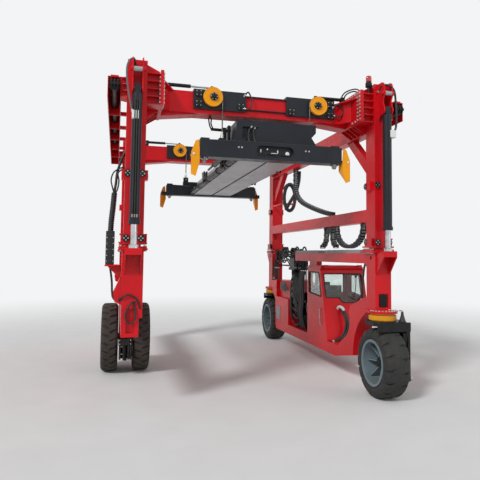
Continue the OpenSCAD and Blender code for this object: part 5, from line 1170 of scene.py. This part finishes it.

# Left near leg: guide box on its red bracket, and the corrugated hose that runs up from the box towards the upper frame
makePiece("guideBracket", [block((-2.68, -3.08, 2.165), (-2.44, -2.9, 2.19)),
    slab([(-2.44, 2.165), (-2.64, 2.165), (-2.44, 1.96)], -3.0, -2.985, 1, 0.002)], "lower_frame", "redEnamel")
rungs = [block((-2.668, -3.052, z), (-2.548, -3.046, z + 0.014), 0.002, 0.003) for z in np.arange(2.23, 2.68, 0.055)]
makePiece("guideBox", [block((-2.672, -3.046, 2.19), (-2.544, -2.93, 2.7), 0.006, 0.01)] + rungs, "lower_frame",
    "ribbedNylon")
makePiece("guideBoxRivets", [bolts([(x, -3.048, z) for x in (-2.655, -2.561) for z in np.arange(2.24, 2.69, 0.09)],
    (0, -1, 0), 0.4)], "lower_frame", "zincPlate")
riserLine = smoothLine([(-2.608, -2.99, 2.64), (-2.6, -2.99, 2.85), (-2.582, -2.99, 3.06), (-2.566, -2.99, 3.29)], 60)
riser = makePiece("legRiserHose", [ribbed(riserLine, 0.042, 0.03)], None, "ribbedNylon", sharp=60)
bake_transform(riser)
runHoses("riserHoses", [
    ([(-2.566, -2.99, 3.27), (-2.6, -2.99, 3.38), (-2.62, -2.99, 3.49), (-2.59, -2.99, 3.6), (-2.52, -2.99, 3.66),
        (-2.44, -2.985, 3.7)], 0.011),
    ([(-2.556, -2.99, 3.27), (-2.52, -2.99, 3.36), (-2.505, -2.99, 3.48), (-2.52, -2.99, 3.6),
        (-2.44, -2.98, 3.68)], 0.012),
    ([(-2.576, -2.98, 3.27), (-2.55, -2.98, 3.42), (-2.53, -2.97, 3.62), (-2.47, -2.96, 3.82),
        (-2.4, -2.96, 3.98)], 0.02),
], "upper_frame", "hoseRubber")
runHoses("footHoses", [
    ([(-2.606, -2.96, 2.19), (-2.57, -2.98, 1.95), (-2.56, -3.0, 1.78), (-2.54, -3.06, 1.69), (-2.47, -3.18, 1.64),
        (-2.42, -3.25, 1.69)], 0.016),
    ([(-2.47, -3.18, 1.64), (-2.428, -3.262, 1.7), (-2.319, -3.275, 1.745), (-2.207, -3.27, 1.69),
        (-2.145, -3.245, 1.54)], 0.014),
    ([(-2.22, -3.25, 1.64), (-2.283, -3.275, 1.62), (-2.352, -3.28, 1.49), (-2.35, -3.28, 1.385), (-2.297, -3.28, 1.33),
        (-2.225, -3.278, 1.38), (-2.216, -3.27, 1.49), (-2.24, -3.25, 1.62)], 0.013),
], "lower_frame", "hoseRubber")

# Fan guard: rings and spokes of wire
fan = (2.15, 0.424, 1.12)
guard = [tube(circle(fan, (0, 1, 0), r, 64), 0.004, 6, loop=True) for r in np.arange(0.05, 0.33, 0.045)]
guard += [tube([(fan[0] + 0.05 * c, fan[1], fan[2] + 0.05 * s), (fan[0] + 0.325 * c, fan[1], fan[2] + 0.325 * s)],
    0.005, 6) for c, s in [(math.cos(a), math.sin(a)) for a in np.arange(8) * math.pi / 4]]
makePiece("fanGuard", guard, "lower_frame", "zincPlate", sharp=60)
print("stage: chains, vents, forks and fittings made")
